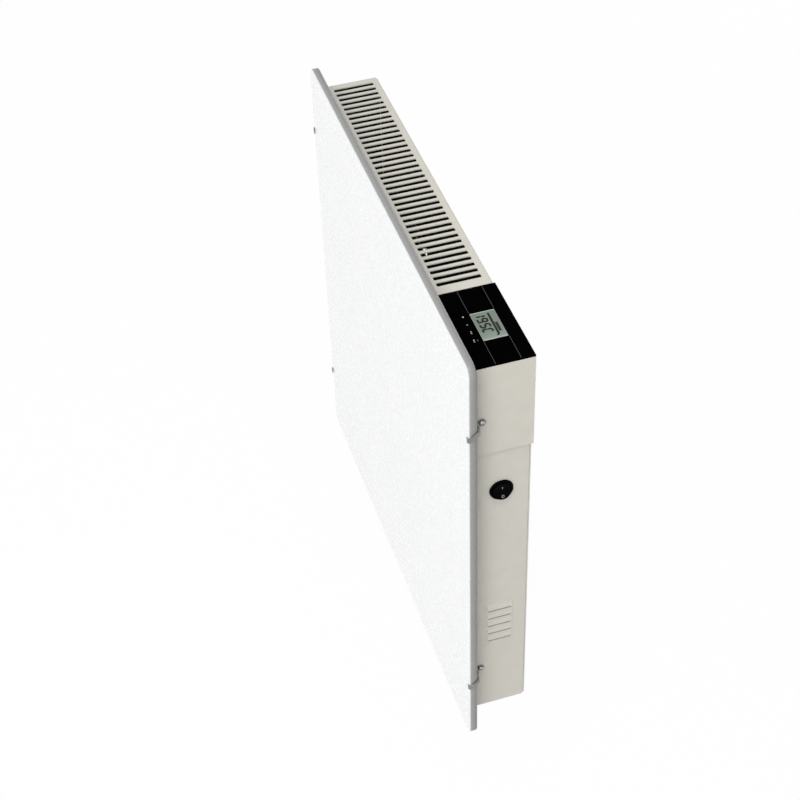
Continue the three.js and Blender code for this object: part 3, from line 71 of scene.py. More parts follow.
# ---- Node helpers for the materials ----
class Shader:
    """A material built round the Principled node, in the row's own coordinates in metres."""

    def __init__(self, name, color, rough, metal=0.0, **sockets):
        self.mat = bpy.data.materials.new(name)
        self.mat.use_nodes = True
        self.tree = self.mat.node_tree
        self.bsdf = self.tree.nodes["Principled BSDF"]
        self.bsdf.inputs["Base Color"].default_value = (*color, 1.0)
        self.bsdf.inputs["Roughness"].default_value = rough
        self.bsdf.inputs["Metallic"].default_value = metal
        for key, value in sockets.items():
            self.bsdf.inputs[key.replace("_", " ")].default_value = value
        self.coord = self.tree.nodes.new("ShaderNodeTexCoord").outputs["Object"]

    def node(self, kind, **values):
        made = self.tree.nodes.new(kind)
        for key, value in values.items():
            setattr(made, key, value)
        return made

    def link(self, output, socket):
        self.tree.links.new(output, socket)

    def calc(self, operation, a, b=0.0):
        made = self.node("ShaderNodeMath", operation=operation)
        for socket, value in zip(made.inputs, (a, b)):
            if isinstance(value, (int, float)):
                socket.default_value = value
            else:
                self.link(value, socket)
        return made.outputs[0]

    def mapped(self, **sockets):
        made = self.node("ShaderNodeMapping")
        for key, value in sockets.items():
            made.inputs[key].default_value = value
        self.link(self.coord, made.inputs["Vector"])
        return made.outputs["Vector"]

    def noise(self, scale, detail=3.0, rough=0.55, vector=None):
        made = self.node("ShaderNodeTexNoise")
        made.inputs["Scale"].default_value = scale
        made.inputs["Detail"].default_value = detail
        made.inputs["Roughness"].default_value = rough
        self.link(vector or self.coord, made.inputs["Vector"])
        return made.outputs["Fac"]

    def spread(self, value, low, high, from_low=0.3, from_high=0.7):
        """Maps from_low..from_high to low..high. The default span is what a noise covers."""
        made = self.node("ShaderNodeMapRange", clamp=True)
        self.link(value, made.inputs["Value"])
        made.inputs["From Min"].default_value = from_low
        made.inputs["From Max"].default_value = from_high
        made.inputs["To Min"].default_value = low
        made.inputs["To Max"].default_value = high
        return made.outputs["Result"]

    def mix(self, factor, a, b):
        made = self.node("ShaderNodeMix", data_type="RGBA")
        sockets = (made.inputs[0], made.inputs[6], made.inputs[7])
        for socket, value in zip(sockets, (factor, a, b)):
            if isinstance(value, tuple):
                socket.default_value = (*value, 1.0)
            elif isinstance(value, (int, float)):
                socket.default_value = value
            else:
                self.link(value, socket)
        return made.outputs[2]

    def axes(self):
        made = self.node("ShaderNodeSeparateXYZ")
        self.link(self.coord, made.inputs[0])
        return made.outputs

    def color(self, output):
        self.link(output, self.bsdf.inputs["Base Color"])

    def rough(self, output):
        self.link(output, self.bsdf.inputs["Roughness"])

    def bump(self, height, distance, strength):
        made = self.node("ShaderNodeBump")
        made.inputs["Strength"].default_value = strength
        made.inputs["Distance"].default_value = distance
        self.link(height, made.inputs["Height"])
        self.link(made.outputs["Normal"], self.bsdf.inputs["Normal"])


def tone(color, factor):
    return tuple(min(1.0, c * factor) for c in color)


# ---- Materials ----
BEIGE = (0.655, 0.640, 0.572)
BEIGE_WARM = (0.672, 0.636, 0.566)
BEIGE_PIT = (0.40, 0.385, 0.33)
# Painted shade: black for the inside faces, so that the slots and gaps read dark.
INSIDE_SHADE_BLACK = (0.012, 0.012, 0.012)

# The inner faces of the sheet parts lie within these boxes, lowest and highest corner in mm; these
# faces get painted shade, black.
SHELL_INSIDE = ((-228.05, -67.9, -229.9), (228.0, -15.6, 232.35))
REAR_INSIDE = ((-215.0, -60.0, -217.0), (215.0, -14.15, 219.0))
CAP_INSIDE = ((100.0, -67.9, 100.0), (230.35, -12.65, 230.75))


def within(s, box):
    """1 on the faces that lie within a box given in mm, by the row's own axes."""
    value = None
    for axis, (low, high) in enumerate(zip(*box)):
        over = s.calc("GREATER_THAN", s.axes()[axis], low * MM)
        under = s.calc("LESS_THAN", s.axes()[axis], high * MM)
        both = s.calc("MULTIPLY", over, under)
        value = both if value is None else s.calc("MULTIPLY", value, both)
    return value


def powder_coat(name, inside):
    """A fine sand texture with slight mottling, and painted shade: black on the inside faces."""
    s = Shader(name, BEIGE, 0.58, Specular_IOR_Level=0.35)
    sand = s.noise(1500.0, 2.0, 0.6)
    mottle = s.noise(70.0, 4.0, 0.6)
    warm = s.noise(23.0, 3.0, 0.5)
    base = s.mix(s.spread(mottle, 0.0, 1.0), tone(BEIGE, 0.965), tone(BEIGE, 1.03))
    base = s.mix(s.spread(warm, 0.0, 0.5), base, BEIGE_WARM)
    base = s.mix(s.spread(sand, 0.0, 1.0), s.mix(0.12, base, BEIGE_PIT), base)
    # Painted shade: the inside faces turn black.
    s.color(s.mix(within(s, inside), base, INSIDE_SHADE_BLACK))
    s.rough(s.spread(sand, 0.50, 0.68))
    s.bump(s.noise(1100.0, 3.0, 0.6), 0.00006, 0.5)
    return s.mat


ENAMEL = (0.93, 0.945, 0.94)
ENAMEL_TONES = ((0.900, 0.917, 0.911), (0.920, 0.935, 0.930))
# Edge greys: partly the ground edge's own grey, partly painted shade; the darker tone is painted
# shade towards the wall and on the back.
GROUND_AND_SHADE_TONES = ((0.345, 0.345, 0.342), (0.20, 0.202, 0.20))
ENAMEL_ENDS = (-78.5, -77.5)
GROUND_SHADE_SPAN = (-76.8, -71.2)


def plate_enamel():
    """White fired face; its ground edge is grey, partly its own grey and partly painted shade,
    which darkens it towards the wall; the back takes the darkest grey.
    """
    s = Shader("plate_enamel", ENAMEL, 0.24, Specular_IOR_Level=0.4,
               Coat_Weight=0.15, Coat_Roughness=0.08)
    y = s.axes()[1]
    edge = s.spread(y, 0.0, 1.0, *(depth * MM for depth in ENAMEL_ENDS))
    # Painted shade: the grey edge darkens towards the wall.
    painted_shade = s.spread(y, 0.0, 1.0, *(depth * MM for depth in GROUND_SHADE_SPAN))
    face = s.mix(s.spread(s.noise(9.0, 3.0, 0.5), 0.0, 1.0), *ENAMEL_TONES)
    s.color(s.mix(edge, face, s.mix(painted_shade, *GROUND_AND_SHADE_TONES)))
    s.rough(s.spread(s.noise(240.0, 3.0), 0.2, 0.3))
    s.bump(s.noise(120.0, 2.0), 0.00002, 0.3)
    return s.mat


def black_glass():
    s = Shader("black_glass", (0.0004, 0.0004, 0.0005), 0.06, Specular_IOR_Level=0.003)
    smear = s.noise(35.0, 4.0, 0.6)
    s.rough(s.spread(smear, 0.05, 0.11))
    s.color(s.mix(s.spread(smear, 0.0, 1.0), (0.0003, 0.0003, 0.0003), (0.0006, 0.0006, 0.0006)))
    return s.mat


DISPLAY_GREEN = ((0.172, 0.222, 0.186), (0.205, 0.248, 0.202))
DISPLAY_WARM = (0.200, 0.232, 0.180)
DISPLAY_PALE = (0.50, 0.56, 0.51)
DISPLAY_CENTRE = (180.5, -36.3)
RIM_ACROSS = (17.2, 18.5)
RIM_ALONG = (10.4, 11.3)
WARM_MIDDLE = (2.0, 14.0)
PALE_END = (186.0, 199.0)


def display_face():
    """Reflective display: grey-green, warmer in the middle, with a pale rim inside the window."""
    s = Shader("display_face", (0.23, 0.28, 0.225), 0.25, Specular_IOR_Level=0.15)

    def ramp(value, low, high, span):
        return s.spread(value, low, high, *(edge * MM for edge in span))

    x, y = s.axes()[0], s.axes()[1]
    across = s.calc("ABSOLUTE", s.calc("SUBTRACT", x, DISPLAY_CENTRE[0] * MM))
    along = s.calc("ABSOLUTE", s.calc("SUBTRACT", y, DISPLAY_CENTRE[1] * MM))
    rim = s.calc("MAXIMUM", ramp(across, 0.0, 1.0, RIM_ACROSS), ramp(along, 0.0, 0.35, RIM_ALONG))
    body = s.mix(s.spread(s.noise(55.0, 3.0), 0.0, 1.0), *DISPLAY_GREEN)
    warm = s.calc("MULTIPLY", ramp(across, 1.0, 0.0, WARM_MIDDLE), 0.4)
    body = s.mix(warm, body, DISPLAY_WARM)
    body = s.mix(ramp(x, 0.0, 0.30, PALE_END), body, DISPLAY_PALE)
    s.color(s.mix(rim, body, DISPLAY_PALE))
    s.rough(s.spread(s.noise(300.0, 2.0), 0.18, 0.28))
    return s.mat


def moulded(name, color, rough, grain=900.0, depth=0.00003, **sockets):
    s = Shader(name, color, rough, **sockets)
    fine = s.noise(grain, 3.0, 0.6)
    broad = s.noise(40.0, 3.0, 0.5)
    s.color(s.mix(s.spread(broad, 0.0, 1.0), tone(color, 0.93), tone(color, 1.06)))
    s.rough(s.spread(fine, rough - 0.05, rough + 0.07))
    s.bump(fine, depth, 0.5)
    return s.mat


def metal(name, color, rough, stretch=(1.0, 1.0, 1.0), spangle=0.0):
    """Drawn or rolled metal; stretch gives the grain its direction, spangle the zinc's crystals."""
    s = Shader(name, color, rough, 1.0)
    streak = s.noise(420.0, 3.0, 0.6, s.mapped(Scale=stretch))
    shade = s.mix(s.spread(streak, 0.0, 1.0), tone(color, 0.9), tone(color, 1.08))
    if spangle:
        cells = s.node("ShaderNodeTexVoronoi", feature="F1")
        cells.inputs["Scale"].default_value = 110.0
        s.link(s.coord, cells.inputs["Vector"])
        bright = s.node("ShaderNodeSeparateColor")
        s.link(cells.outputs["Color"], bright.inputs[0])
        shade = s.mix(s.calc("MULTIPLY", bright.outputs[0], spangle), shade, tone(color, 0.72))
    s.color(shade)
    s.rough(s.spread(streak, rough - 0.06, rough + 0.1))
    s.bump(streak, 0.00002, 0.3)
    return s.mat


SPRING_TONES = ((0.245, 0.245, 0.238), (0.295, 0.295, 0.286))
# Painted highlight: the pale colour of the lip's face over the plate.
SPRING_LIP_HIGHLIGHT = (0.84, 0.845, 0.84)
LIP_HIGHLIGHT_SPAN = (-80.05, -79.9)


def spring_steel():
    """Dull grey strip, with a painted highlight: paler where the lip lies over the plate's face."""
    s = Shader("spring_steel", (0.27, 0.27, 0.262), 0.36, 1.0)
    streak = s.noise(420.0, 3.0, 0.6, s.mapped(Scale=(1.0, 1.0, 5.0)))
    shade = s.mix(s.spread(streak, 0.0, 1.0), *SPRING_TONES)
    # Painted highlight on the lip's face over the plate.
    lip = s.spread(s.axes()[1], 1.0, 0.0, *(depth * MM for depth in LIP_HIGHLIGHT_SPAN))
    s.color(s.mix(lip, shade, SPRING_LIP_HIGHLIGHT))
    s.rough(s.spread(streak, 0.30, 0.44))
    s.bump(streak, 0.00002, 0.3)
    return s.mat


def wool_board():
    s = Shader("wool_board", (0.66, 0.61, 0.50), 0.95, Specular_IOR_Level=0.1)
    fibre = s.noise(260.0, 6.0, 0.7, s.mapped(Scale=(1.0, 6.0, 3.0)))
    s.color(s.mix(s.spread(fibre, 0.0, 1.0), (0.50, 0.45, 0.35), (0.72, 0.67, 0.57)))
    s.rough(s.spread(fibre, 0.88, 1.0))
    s.bump(fibre, 0.0004, 0.8)
    return s.mat


def board_lacquer():
    """Green solder mask with a faint pattern of tracks under it."""
    s = Shader("board_lacquer", (0.014, 0.10, 0.035), 0.35)
    tracks = s.node("ShaderNodeTexBrick")
    for key, value in (("Scale", 260.0), ("Mortar Size", 0.08),
                       ("Color1", (0.012, 0.09, 0.030, 1.0)),
                       ("Color2", (0.016, 0.11, 0.040, 1.0)),
                       ("Mortar", (0.03, 0.17, 0.06, 1.0))):
        tracks.inputs[key].default_value = value
    turn = (math.radians(90), 0.0, math.radians(90))
    s.link(s.mapped(Rotation=turn), tracks.inputs["Vector"])
    s.color(tracks.outputs["Color"])
    s.rough(s.spread(s.noise(500.0), 0.3, 0.45))
    return s.mat


def printed_ink(name, color):
    s = Shader(name, color, 0.5, Specular_IOR_Level=0.2)
    s.color(s.mix(s.spread(s.noise(2500.0, 2.0), 0.0, 1.0), tone(color, 0.9), tone(color, 1.05)))
    return s.mat


MATS = {
    "plate": plate_enamel(),
    "shell": powder_coat("casing_coat", SHELL_INSIDE),
    "rear": powder_coat("rear_coat", REAR_INSIDE),
    "cap": powder_coat("cap_coat", CAP_INSIDE),
    "glass": black_glass(),
    "display": display_face(),
    "black": moulded("black_moulding", (0.0020, 0.0020, 0.0022), 0.42, 1400.0, 0.00002,
                     Specular_IOR_Level=0.012),
    "rocker": moulded("rocker_moulding", (0.0018, 0.0018, 0.0020), 0.34, 1800.0, 0.00001,
                      Specular_IOR_Level=0.015),
    "nylon": moulded("nylon_moulding", (0.72, 0.70, 0.63), 0.42),
    "grey": moulded("soft_grey", (0.15, 0.155, 0.155), 0.8, 500.0, 0.0001),
    "silicone": moulded("silicone_mat", (0.33, 0.045, 0.03), 0.62, 300.0, 0.0001),
    "blue": moulded("relay_blue", (0.02, 0.06, 0.21), 0.3),
    "yellow": moulded("supply_yellow", (0.48, 0.32, 0.05), 0.4),
    "ceramic": moulded("white_ceramic", (0.78, 0.75, 0.68), 0.55, 700.0, 0.00005),
    "brown_lead": moulded("lead_brown", (0.10, 0.04, 0.02), 0.5, 700.0, 0.00004),
    "blue_lead": moulded("lead_blue", (0.02, 0.10, 0.32), 0.5, 700.0, 0.00004),
    "wool": wool_board(),
    "board": board_lacquer(),
    "zinc": metal("zinc_steel", (0.50, 0.51, 0.53), 0.34, spangle=0.35),
    "bright": metal("bright_steel", (0.56, 0.56, 0.545), 0.27, (1.0, 1.0, 6.0)),
    "spring": spring_steel(),
    "screw": metal("screw_steel", (0.40, 0.40, 0.39), 0.30),
    "aluminium": metal("aluminium_sheet", (0.62, 0.63, 0.64), 0.38, (0.3, 3.0, 3.0)),
    "brass": metal("brass", (0.52, 0.35, 0.10), 0.3),
    "white_ink": printed_ink("white_ink", (0.62, 0.62, 0.62)),
    "pale_ink": printed_ink("pale_ink", (0.42, 0.42, 0.42)),
    "grey_ink": printed_ink("grey_ink", (0.052, 0.052, 0.055)),
    "soft_ink": printed_ink("soft_ink", (0.16, 0.16, 0.165)),
    "segment": printed_ink("segment_ink", (0.001, 0.002, 0.0015)),
    "faint_segment": printed_ink("faint_segment_ink", (0.17, 0.22, 0.18)),
    "brown_segment": printed_ink("brown_segment_ink", (0.024, 0.028, 0.022)),
}


# ---- Finishes on the CAD nodes ----
WELD_DISTANCE = 2e-6
FLAT_ANGLE = math.radians(0.6)
SHARP_ANGLE = math.radians(32.0)


def smooth(mesh):
    mesh.polygons.foreach_set("use_smooth", [True] * len(mesh.polygons))
    if "custom_normal" in mesh.attributes:
        mesh.attributes.remove(mesh.attributes["custom_normal"])


def round_edges(obj, width, segments):
    """Rounds the sharp edges, by a width in mm, after joining the flat triangles into faces."""
    flat = obj.modifiers.new("flat", "DECIMATE")
    flat.decimate_type = "DISSOLVE"
    flat.angle_limit = FLAT_ANGLE
    edge = obj.modifiers.new("edge", "BEVEL")
    edge.width = width * MM
    edge.segments = segments
    edge.limit_method = "ANGLE"
    edge.angle_limit = SHARP_ANGLE
    edge.harden_normals = True
    edge.use_clamp_overlap = True
    weighted = obj.modifiers.new("weighted", "WEIGHTED_NORMAL")
    weighted.keep_sharp = True


def dress(name, finish, width, segments):
    obj = NODES[name]
    obj.data.materials.clear()
    obj.data.materials.append(MATS[finish])
    smooth(obj.data)
    weld = obj.modifiers.new("weld", "WELD")
    weld.merge_threshold = WELD_DISTANCE
    if width:
        round_edges(obj, width, segments)
    else:
        split = obj.modifiers.new("split", "EDGE_SPLIT")
        split.split_angle = SHARP_ANGLE


def numbered(stem, count):
    return [f"{stem}_{k}" for k in range(1, count + 1)]


# Nodes, finish, width of the rounded edge in mm, and its segments. A width of 0 leaves it sharp.
FINISHES = [
    (["front_plate"], "plate", 0.5, 2),
    (numbered("plate_pad", 4), "grey", 0.2, 1),
    (["heating_mat"], "silicone", 0.2, 1),
    (["insulation_board"], "wool", 0.3, 1),
    (["heat_reflector"], "aluminium", 0.0, 1),
    (["casing_shell"], "shell", 0.45, 2),
    (["rear_panel"], "rear", 0.12, 1),
    (["partition_wall"], "zinc", 0.2, 1),
    (["control_cap"], "cap", 0.55, 3),
    (["control_glass"], "glass", 0.3, 2),
    (["lcd_module"], "display", 0.1, 1),
    (["touch_strip", "switch_tab_1", "switch_tab_2"], "brass", 0.0, 1),
    (["display_frame"], "black", 0.3, 1),
    (["display_board", "power_board"], "board", 0.0, 1),
    (["power_board_tray", "output_terminals", "mains_terminal_block"], "nylon", 0.4, 2),
    (["relay"], "blue", 0.5, 2),
    (["supply_module"], "yellow", 0.8, 2),
    (["cable_gland", "gland_nut"], "black", 0.4, 2),
    (["rocker_housing"], "black", 0.35, 3),
    (["rocker"], "rocker", 0.45, 3),
    # The sensor holder is black as painted shade, so that the louvre gaps read dark.
    (["room_sensor", "sensor_holder", "thermal_cutout"], "black", 0.4, 2),
    (["convector_fins"], "aluminium", 0.0, 1),
    (["heating_rod"], "bright", 0.4, 2),
    (["element_bracket_left", "element_bracket_right"], "zinc", 0.3, 1),
    (["element_bush_left", "element_bush_right"], "ceramic", 0.4, 2),
    (numbered("plate_clip", 4), "spring", 0.12, 1),
    (numbered("clip_screw", 4), "screw", 0.2, 2),
    (numbered("rear_screw", 4) + numbered("cap_screw", 2) + ["lock_screw"], "zinc", 0.3, 2),
    (["wall_bracket"], "zinc", 0.35, 2),
    (["wall_spacer_left", "wall_spacer_right"], "grey", 1.2, 3),
    (["lead_supply", "lead_switched"], "brown_lead", 0.0, 1),
    (["lead_neutral"], "blue_lead", 0.0, 1),
]

for names, finish, width, segments in FINISHES:
    for name in names:
        dress(name, finish, width, segments)


# ---- Pieces of the scene's own ----
PRINT_HEIGHT = 0.03


def add_object(name, mesh, finish, body="heater"):
    obj = bpy.data.objects.new(name, mesh)
    scene.collection.objects.link(obj)
    mesh.materials.clear()
    mesh.materials.append(MATS[finish])
    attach(obj, body)


def closed_mesh(name, made):
    bmesh.ops.recalc_face_normals(made, faces=made.faces)
    mesh = bpy.data.meshes.new(name)
    made.to_mesh(mesh)
    made.free()
    return mesh


def prism_mesh(name, outlines, to_world, height=PRINT_HEIGHT):
    """Flat outlines in mm, given in a plane's own two axes, as thin closed solids."""
    made = bmesh.new()
    for outline in outlines:
        low = [made.verts.new(to_world(u, v, 0.0)) for u, v in outline]
        high = [made.verts.new(to_world(u, v, height)) for u, v in outline]
        made.faces.new(list(reversed(low)))
        made.faces.new(high)
        for k in range(len(outline)):
            after = (k + 1) % len(outline)
            made.faces.new((low[k], low[after], high[after], high[k]))
    return closed_mesh(name, made)


def ring_mesh(name, centre, outer, inner, to_world, steps=32, start=0.0, sweep=360.0):
    """A flat ring, or part of one, as a thin closed solid; radii in mm, angles in degrees."""
    made = bmesh.new()
    closed = sweep >= 360.0
    count = steps if closed else steps + 1
    loops = []
    for k in range(count):
        angle = math.radians(start + sweep * k / steps)
        cosine, sine = math.cos(angle), math.sin(angle)
        corner = []
        for radius, height in ((inner, 0.0), (outer, 0.0),
                               (outer, PRINT_HEIGHT), (inner, PRINT_HEIGHT)):
            spot = to_world(centre[0] + radius * cosine, centre[1] + radius * sine, height)
            corner.append(made.verts.new(spot))
        loops.append(corner)
    for k in range(steps):
        a, b = loops[k], loops[(k + 1) % count]
        for j in range(4):
            made.faces.new((a[j], a[(j + 1) % 4], b[(j + 1) % 4], b[j]))
    if not closed:
        made.faces.new(loops[0])
        made.faces.new(list(reversed(loops[-1])))
    return closed_mesh(name, made)


def bar_outline(x0, y0, x1, y1, width, point=0.0):
    """A straight stroke between two points, with ends that come to a blunt point."""
    along = Vector((x1 - x0, y1 - y0))
    along.normalize()
    side = Vector((-along.y, along.x)) * (width / 2)
    tip = along * point
    a, b = Vector((x0, y0)), Vector((x1, y1))
    outline = [a + side, b + side]
    if point:
        outline.append(b + tip)
    outline += [b - side, a - side]
    if point:
        outline.append(a - tip)
    return [tuple(spot) for spot in outline]


def bars(rows):
    return [bar_outline(*row) for row in rows]


def round_outline(x, y, radius, steps=16):
    angles = [2 * math.pi * k / steps for k in range(steps)]
    return [(x + radius * math.cos(angle), y + radius * math.sin(angle)) for angle in angles]


# ---- Display and printed marks on the control panel ----
PLATE_FRONT = -78.6
PANEL_TOP = 233.5
DISPLAY_TOP = 233.2
PANEL_PRINT = PANEL_TOP + 0.005
DISPLAY_PRINT = DISPLAY_TOP + 0.01
DISPLAY_OVERPRINT = DISPLAY_TOP + 0.03


def on_level(level):
    """Panel marks are placed by x and by the distance behind the plate's front, in mm."""
    def to_world(u, v, height):
        return Vector((u, PLATE_FRONT + v, level + height)) * MM
    return to_world


# Each character: its segments, its left edge and its width. The point is x, depth and radius.
DIGITS = (("bc", 163.6, 4.2), ("abcdfg", 171.0, 4.2), ("afgcd", 178.4, 4.2), ("afed", 185.2, 4.0))
DIGIT_FOOT = 34.9
DIGIT_HEIGHT = 8.4
DIGIT_SLANT = 0.06
STROKE = 2.0
STROKE_GAP = STROKE * 0.30
STROKE_POINT = STROKE * 0.35
DECIMAL_POINT = (176.7, 34.7, 0.7)

# Bars: x and depth of the one end and the other, and the width.
DISPLAY_LINE = ((165.2, 46.7, 194.8, 46.7, 2.1), (194.2, 47.4, 195.8, 44.6, 1.3))
DISPLAY_STRIP = ((179.0, 49.4, 191.0, 49.4, 1.6),)
STRIP_EDGES = ((178.8, 48.6, 191.2, 48.6, 0.75), (178.8, 50.3, 191.2, 50.3, 0.75))
SMALL_MARKS = (
    (164.3, 31.9, 165.3, 34.2, 0.7), (164.6, 51.4, 165.4, 52.6, 0.45),
    (165.4, 52.6, 166.2, 51.4, 0.45), (189.6, 35.6, 192.2, 35.9, 0.9),
    (188.4, 51.4, 189.6, 52.6, 0.55), (191.8, 50.8, 193.4, 52.2, 0.55),
)
PANEL_LINES = (
    (128.9, 30.7, 160.6, 30.7, 0.42), (200.4, 30.7, 230.4, 30.7, 0.42),
    (128.9, 53.9, 160.6, 53.9, 0.42), (200.4, 53.9, 230.4, 53.9, 0.42),
)
KEY_DOT = (163.9, 24.5, 0.78)
KEY_ARROW = [(174.3, 25.0), (175.8, 25.0), (175.4, 23.4)]
KEY_BARS = (
    (184.0, 24.6, 185.4, 24.6, 1.0), (186.1, 24.5, 187.6, 24.5, 1.1),
    (195.0, 23.3, 196.6, 23.3, 1.1), (197.3, 23.1, 198.7, 23.1, 1.1),
)
KEY_ARC = (197.0, 25.7)
KEY_ARC_RADII = (1.15, 0.75)
KEY_ARC_STEPS = 14
KEY_ARC_START = 20.0
KEY_ARC_SWEEP = 140.0


def digit_strokes(segments, left, width):
    """Seven-segment strokes of one character, with the usual letters for the segments."""
    mid = DIGIT_HEIGHT / 2
    lines = {
        "a": (STROKE_GAP, DIGIT_HEIGHT, width - STROKE_GAP, DIGIT_HEIGHT),
        "g": (STROKE_GAP, mid, width - STROKE_GAP, mid),
        "d": (STROKE_GAP, 0.0, width - STROKE_GAP, 0.0),
        "f": (0.0, mid + STROKE_GAP, 0.0, DIGIT_HEIGHT - STROKE_GAP),
        "e": (0.0, STROKE_GAP, 0.0, mid - STROKE_GAP),
        "b": (width, mid + STROKE_GAP, width, DIGIT_HEIGHT - STROKE_GAP),
        "c": (width, STROKE_GAP, width, mid - STROKE_GAP),
    }
    strokes = []
    for key in segments:
        u0, v0, u1, v1 = lines[key]
        start = (left + u0 + DIGIT_SLANT * v0, DIGIT_FOOT + v0)
        end = (left + u1 + DIGIT_SLANT * v1, DIGIT_FOOT + v1)
        strokes.append(bar_outline(*start, *end, STROKE, STROKE_POINT))
    return strokes


def printed(name, outlines, level, finish):
    add_object(name, prism_mesh(name, outlines, on_level(level)), finish)


def display_content():
    digits = [stroke for row in DIGITS for stroke in digit_strokes(*row)]
    digits += [round_outline(*DECIMAL_POINT)] + bars(DISPLAY_LINE)
    for name, outlines, level, finish in (
            ("display_digits", digits, DISPLAY_PRINT, "segment"),
            ("display_bar", bars(DISPLAY_STRIP), DISPLAY_PRINT, "brown_segment"),
            ("display_bar_edge", bars(STRIP_EDGES), DISPLAY_OVERPRINT, "segment"),
            ("display_small_marks", bars(SMALL_MARKS), DISPLAY_PRINT, "faint_segment")):
        printed(name, outlines, level, finish)


def panel_print():
    for name, outlines, finish in (
            ("panel_lines", bars(PANEL_LINES), "grey_ink"),
            ("panel_key_dot", [round_outline(*KEY_DOT)], "white_ink"),
            ("panel_key_marks", [KEY_ARROW] + bars(KEY_BARS), "pale_ink")):
        printed(name, outlines, PANEL_PRINT, finish)
    arc = ring_mesh("panel_key_arc", KEY_ARC, *KEY_ARC_RADII, on_level(PANEL_PRINT),
                    KEY_ARC_STEPS, KEY_ARC_START, KEY_ARC_SWEEP)
    add_object("panel_key_arc", arc, "soft_ink")


display_content()
panel_print()


# ---- Marks on the rocker, on the slope of each wing ----
PIVOT = (227.4, -41.0, 79.0)
TILT = math.radians(9.0)
CROWN = 5.2
ON_MARK = (0.0, 2.4, 0.0, 4.7, 0.55)
OFF_MARK = (0.0, 5.6)
OFF_MARK_RADII = (1.4, 1.0)


def on_wing(side):
    """u runs across the wing towards the wall, v out from the middle; side is 1 above, -1 below."""
    def to_world(u, v, height):
        z = side * v
        x = CROWN + v * math.tan(TILT) + height
        turned_x = x * math.cos(TILT) - z * math.sin(TILT)
        turned_z = x * math.sin(TILT) + z * math.cos(TILT)
        return Vector((PIVOT[0] + turned_x, PIVOT[1] + u, PIVOT[2] + turned_z)) * MM
    return to_world


def rocker_marks():
    upper, lower = on_wing(1), on_wing(-1)
    stroke = prism_mesh("rocker_mark_on", bars([ON_MARK]), upper)
    add_object("rocker_mark_on", stroke, "pale_ink", "rocker")
    ring = ring_mesh("rocker_mark_off", OFF_MARK, *OFF_MARK_RADII, lower)
    add_object("rocker_mark_off", ring, "pale_ink", "rocker")


rocker_marks()


# ---- Cross recesses in the heads of the clip screws, as painted shade: flat black crosses laid on the heads ----
# Painted shade: the arms of the flat black cross on each screw head.
RECESS_SHADE_ARMS = ((-0.95, 0.0, 0.95, 0.0, 0.55), (0.0, -0.95, 0.0, 0.95, 0.55))
RECESS_SHADE_STEP = 0.02


def on_head(node):
    """The outer face of a screw whose axis runs along x; u runs along y and v up, in mm."""
    low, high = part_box(node)
    side = 1 if low[0] > 0 else -1
    face = high[0] if side > 0 else low[0]
    centre_y, centre_z = (low[1] + high[1]) / 2, (low[2] + high[2]) / 2

    def to_world(u, v, height):
        return Vector((face + side * height * MM, centre_y + u * MM, centre_z + v * MM))
    return to_world


def recess_shade_marks():
    for index in range(1, 5):
        to_world = on_head(f"clip_screw_{index}")
        for number, arm in enumerate(bars(RECESS_SHADE_ARMS), 1):
            name = f"clip_screw_recess_{index}_{number}"
            # Painted shade: a flat black arm of the cross stands in for the recess's shade.
            add_object(name, prism_mesh(name, [arm], to_world, RECESS_SHADE_STEP * number), "black")


recess_shade_marks()


# ---- Stage: a pale floor, white to the camera and in reflections, and soft lamps ----
WORLD_LEVEL = 0.40
FLOOR_Z = -0.42
FLOOR_REACH = 6.0
FLOOR_GLOW = 0.97
WHITE = (1.0, 1.0, 1.0, 1.0)
FLOOR_GREY = (0.9, 0.9, 0.9, 1.0)

# Name, place, the point it faces, side in metres and power in watts.
LAMPS = (
    ("lamp_front", (-1.1, -2.0, 0.1), (0.0, -0.05, 0.0), 1.6, 14.5),
    ("lamp_top", (0.95, -0.45, 2.1), (0.2, -0.05, 0.0), 1.2, 19.0),
    ("lamp_side", (1.6, -1.07, 1.3), (0.1, -0.05, 0.0), 1.1, 18.0),
    ("lamp_back", (-1.8, 1.6, 1.0), (0.0, -0.05, 0.0), 1.8, 18.0),
)


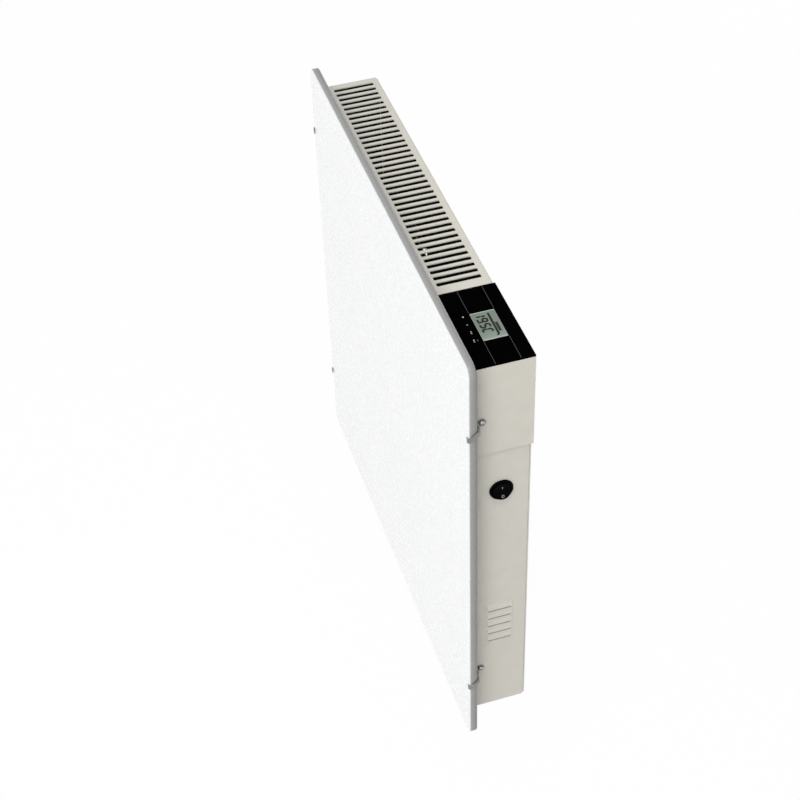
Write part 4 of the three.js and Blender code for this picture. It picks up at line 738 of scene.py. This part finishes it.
def show_glow(tree, lit, glow, output, share=1.0):
    """Camera, glossy and transmission rays see the glow, or a share of it; the rest see lit."""
    def calc(operation, a, b):
        made = tree.nodes.new("ShaderNodeMath")
        made.operation = operation
        tree.links.new(a, made.inputs[0])
        if isinstance(b, float):
            made.inputs[1].default_value = b
        else:
            tree.links.new(b, made.inputs[1])
        return made.outputs[0]

    rays = tree.nodes.new("ShaderNodeLightPath").outputs
    seen = calc("MAXIMUM", rays["Is Camera Ray"], rays["Is Glossy Ray"])
    seen = calc("MAXIMUM", seen, rays["Is Transmission Ray"])
    if share < 1.0:
        seen = calc("MULTIPLY", seen, share)
    mix = tree.nodes.new("ShaderNodeMixShader")
    for socket, source in zip(mix.inputs, (seen, lit.outputs[0], glow.outputs[0])):
        tree.links.new(source, socket)
    tree.links.new(mix.outputs[0], output.inputs["Surface"])


def make_world():
    world = bpy.data.worlds.new("studio")
    scene.world = world
    world.use_nodes = True
    tree = world.node_tree
    lit = tree.nodes["Background"]
    shown = tree.nodes.new("ShaderNodeBackground")
    for background, strength in ((lit, WORLD_LEVEL), (shown, 1.0)):
        background.inputs["Color"].default_value = WHITE
        background.inputs["Strength"].default_value = strength
    show_glow(tree, lit, shown, tree.nodes["World Output"])


def make_floor():
    mesh = bpy.data.meshes.new("studio_floor")
    corners = [(x * FLOOR_REACH, y * FLOOR_REACH, FLOOR_Z)
               for x, y in ((-1, -1), (1, -1), (1, 1), (-1, 1))]
    mesh.from_pydata(corners, [], [(0, 1, 2, 3)])
    floor = bpy.data.objects.new("studio_floor", mesh)
    scene.collection.objects.link(floor)
    mat = bpy.data.materials.new("studio_floor")
    mat.use_nodes = True
    tree = mat.node_tree
    plain = tree.nodes["Principled BSDF"]
    plain.inputs["Base Color"].default_value = FLOOR_GREY
    plain.inputs["Roughness"].default_value = 0.9
    plain.inputs["Specular IOR Level"].default_value = 0.0
    glow = tree.nodes.new("ShaderNodeEmission")
    glow.inputs["Strength"].default_value = 1.0
    show_glow(tree, plain, glow, tree.nodes["Material Output"], FLOOR_GLOW)
    mesh.materials.append(mat)


def area_lamp(name, place, target, size, power):
    data = bpy.data.lights.new(name, "AREA")
    data.shape = "SQUARE"
    data.size = size
    data.energy = power
    lamp = bpy.data.objects.new(name, data)
    lamp.location = place
    aim = Vector(target) - Vector(place)
    lamp.rotation_euler = aim.to_track_quat("-Z", "Y").to_euler()
    scene.collection.objects.link(lamp)


make_world()
make_floor()
for row in LAMPS:
    area_lamp(*row)
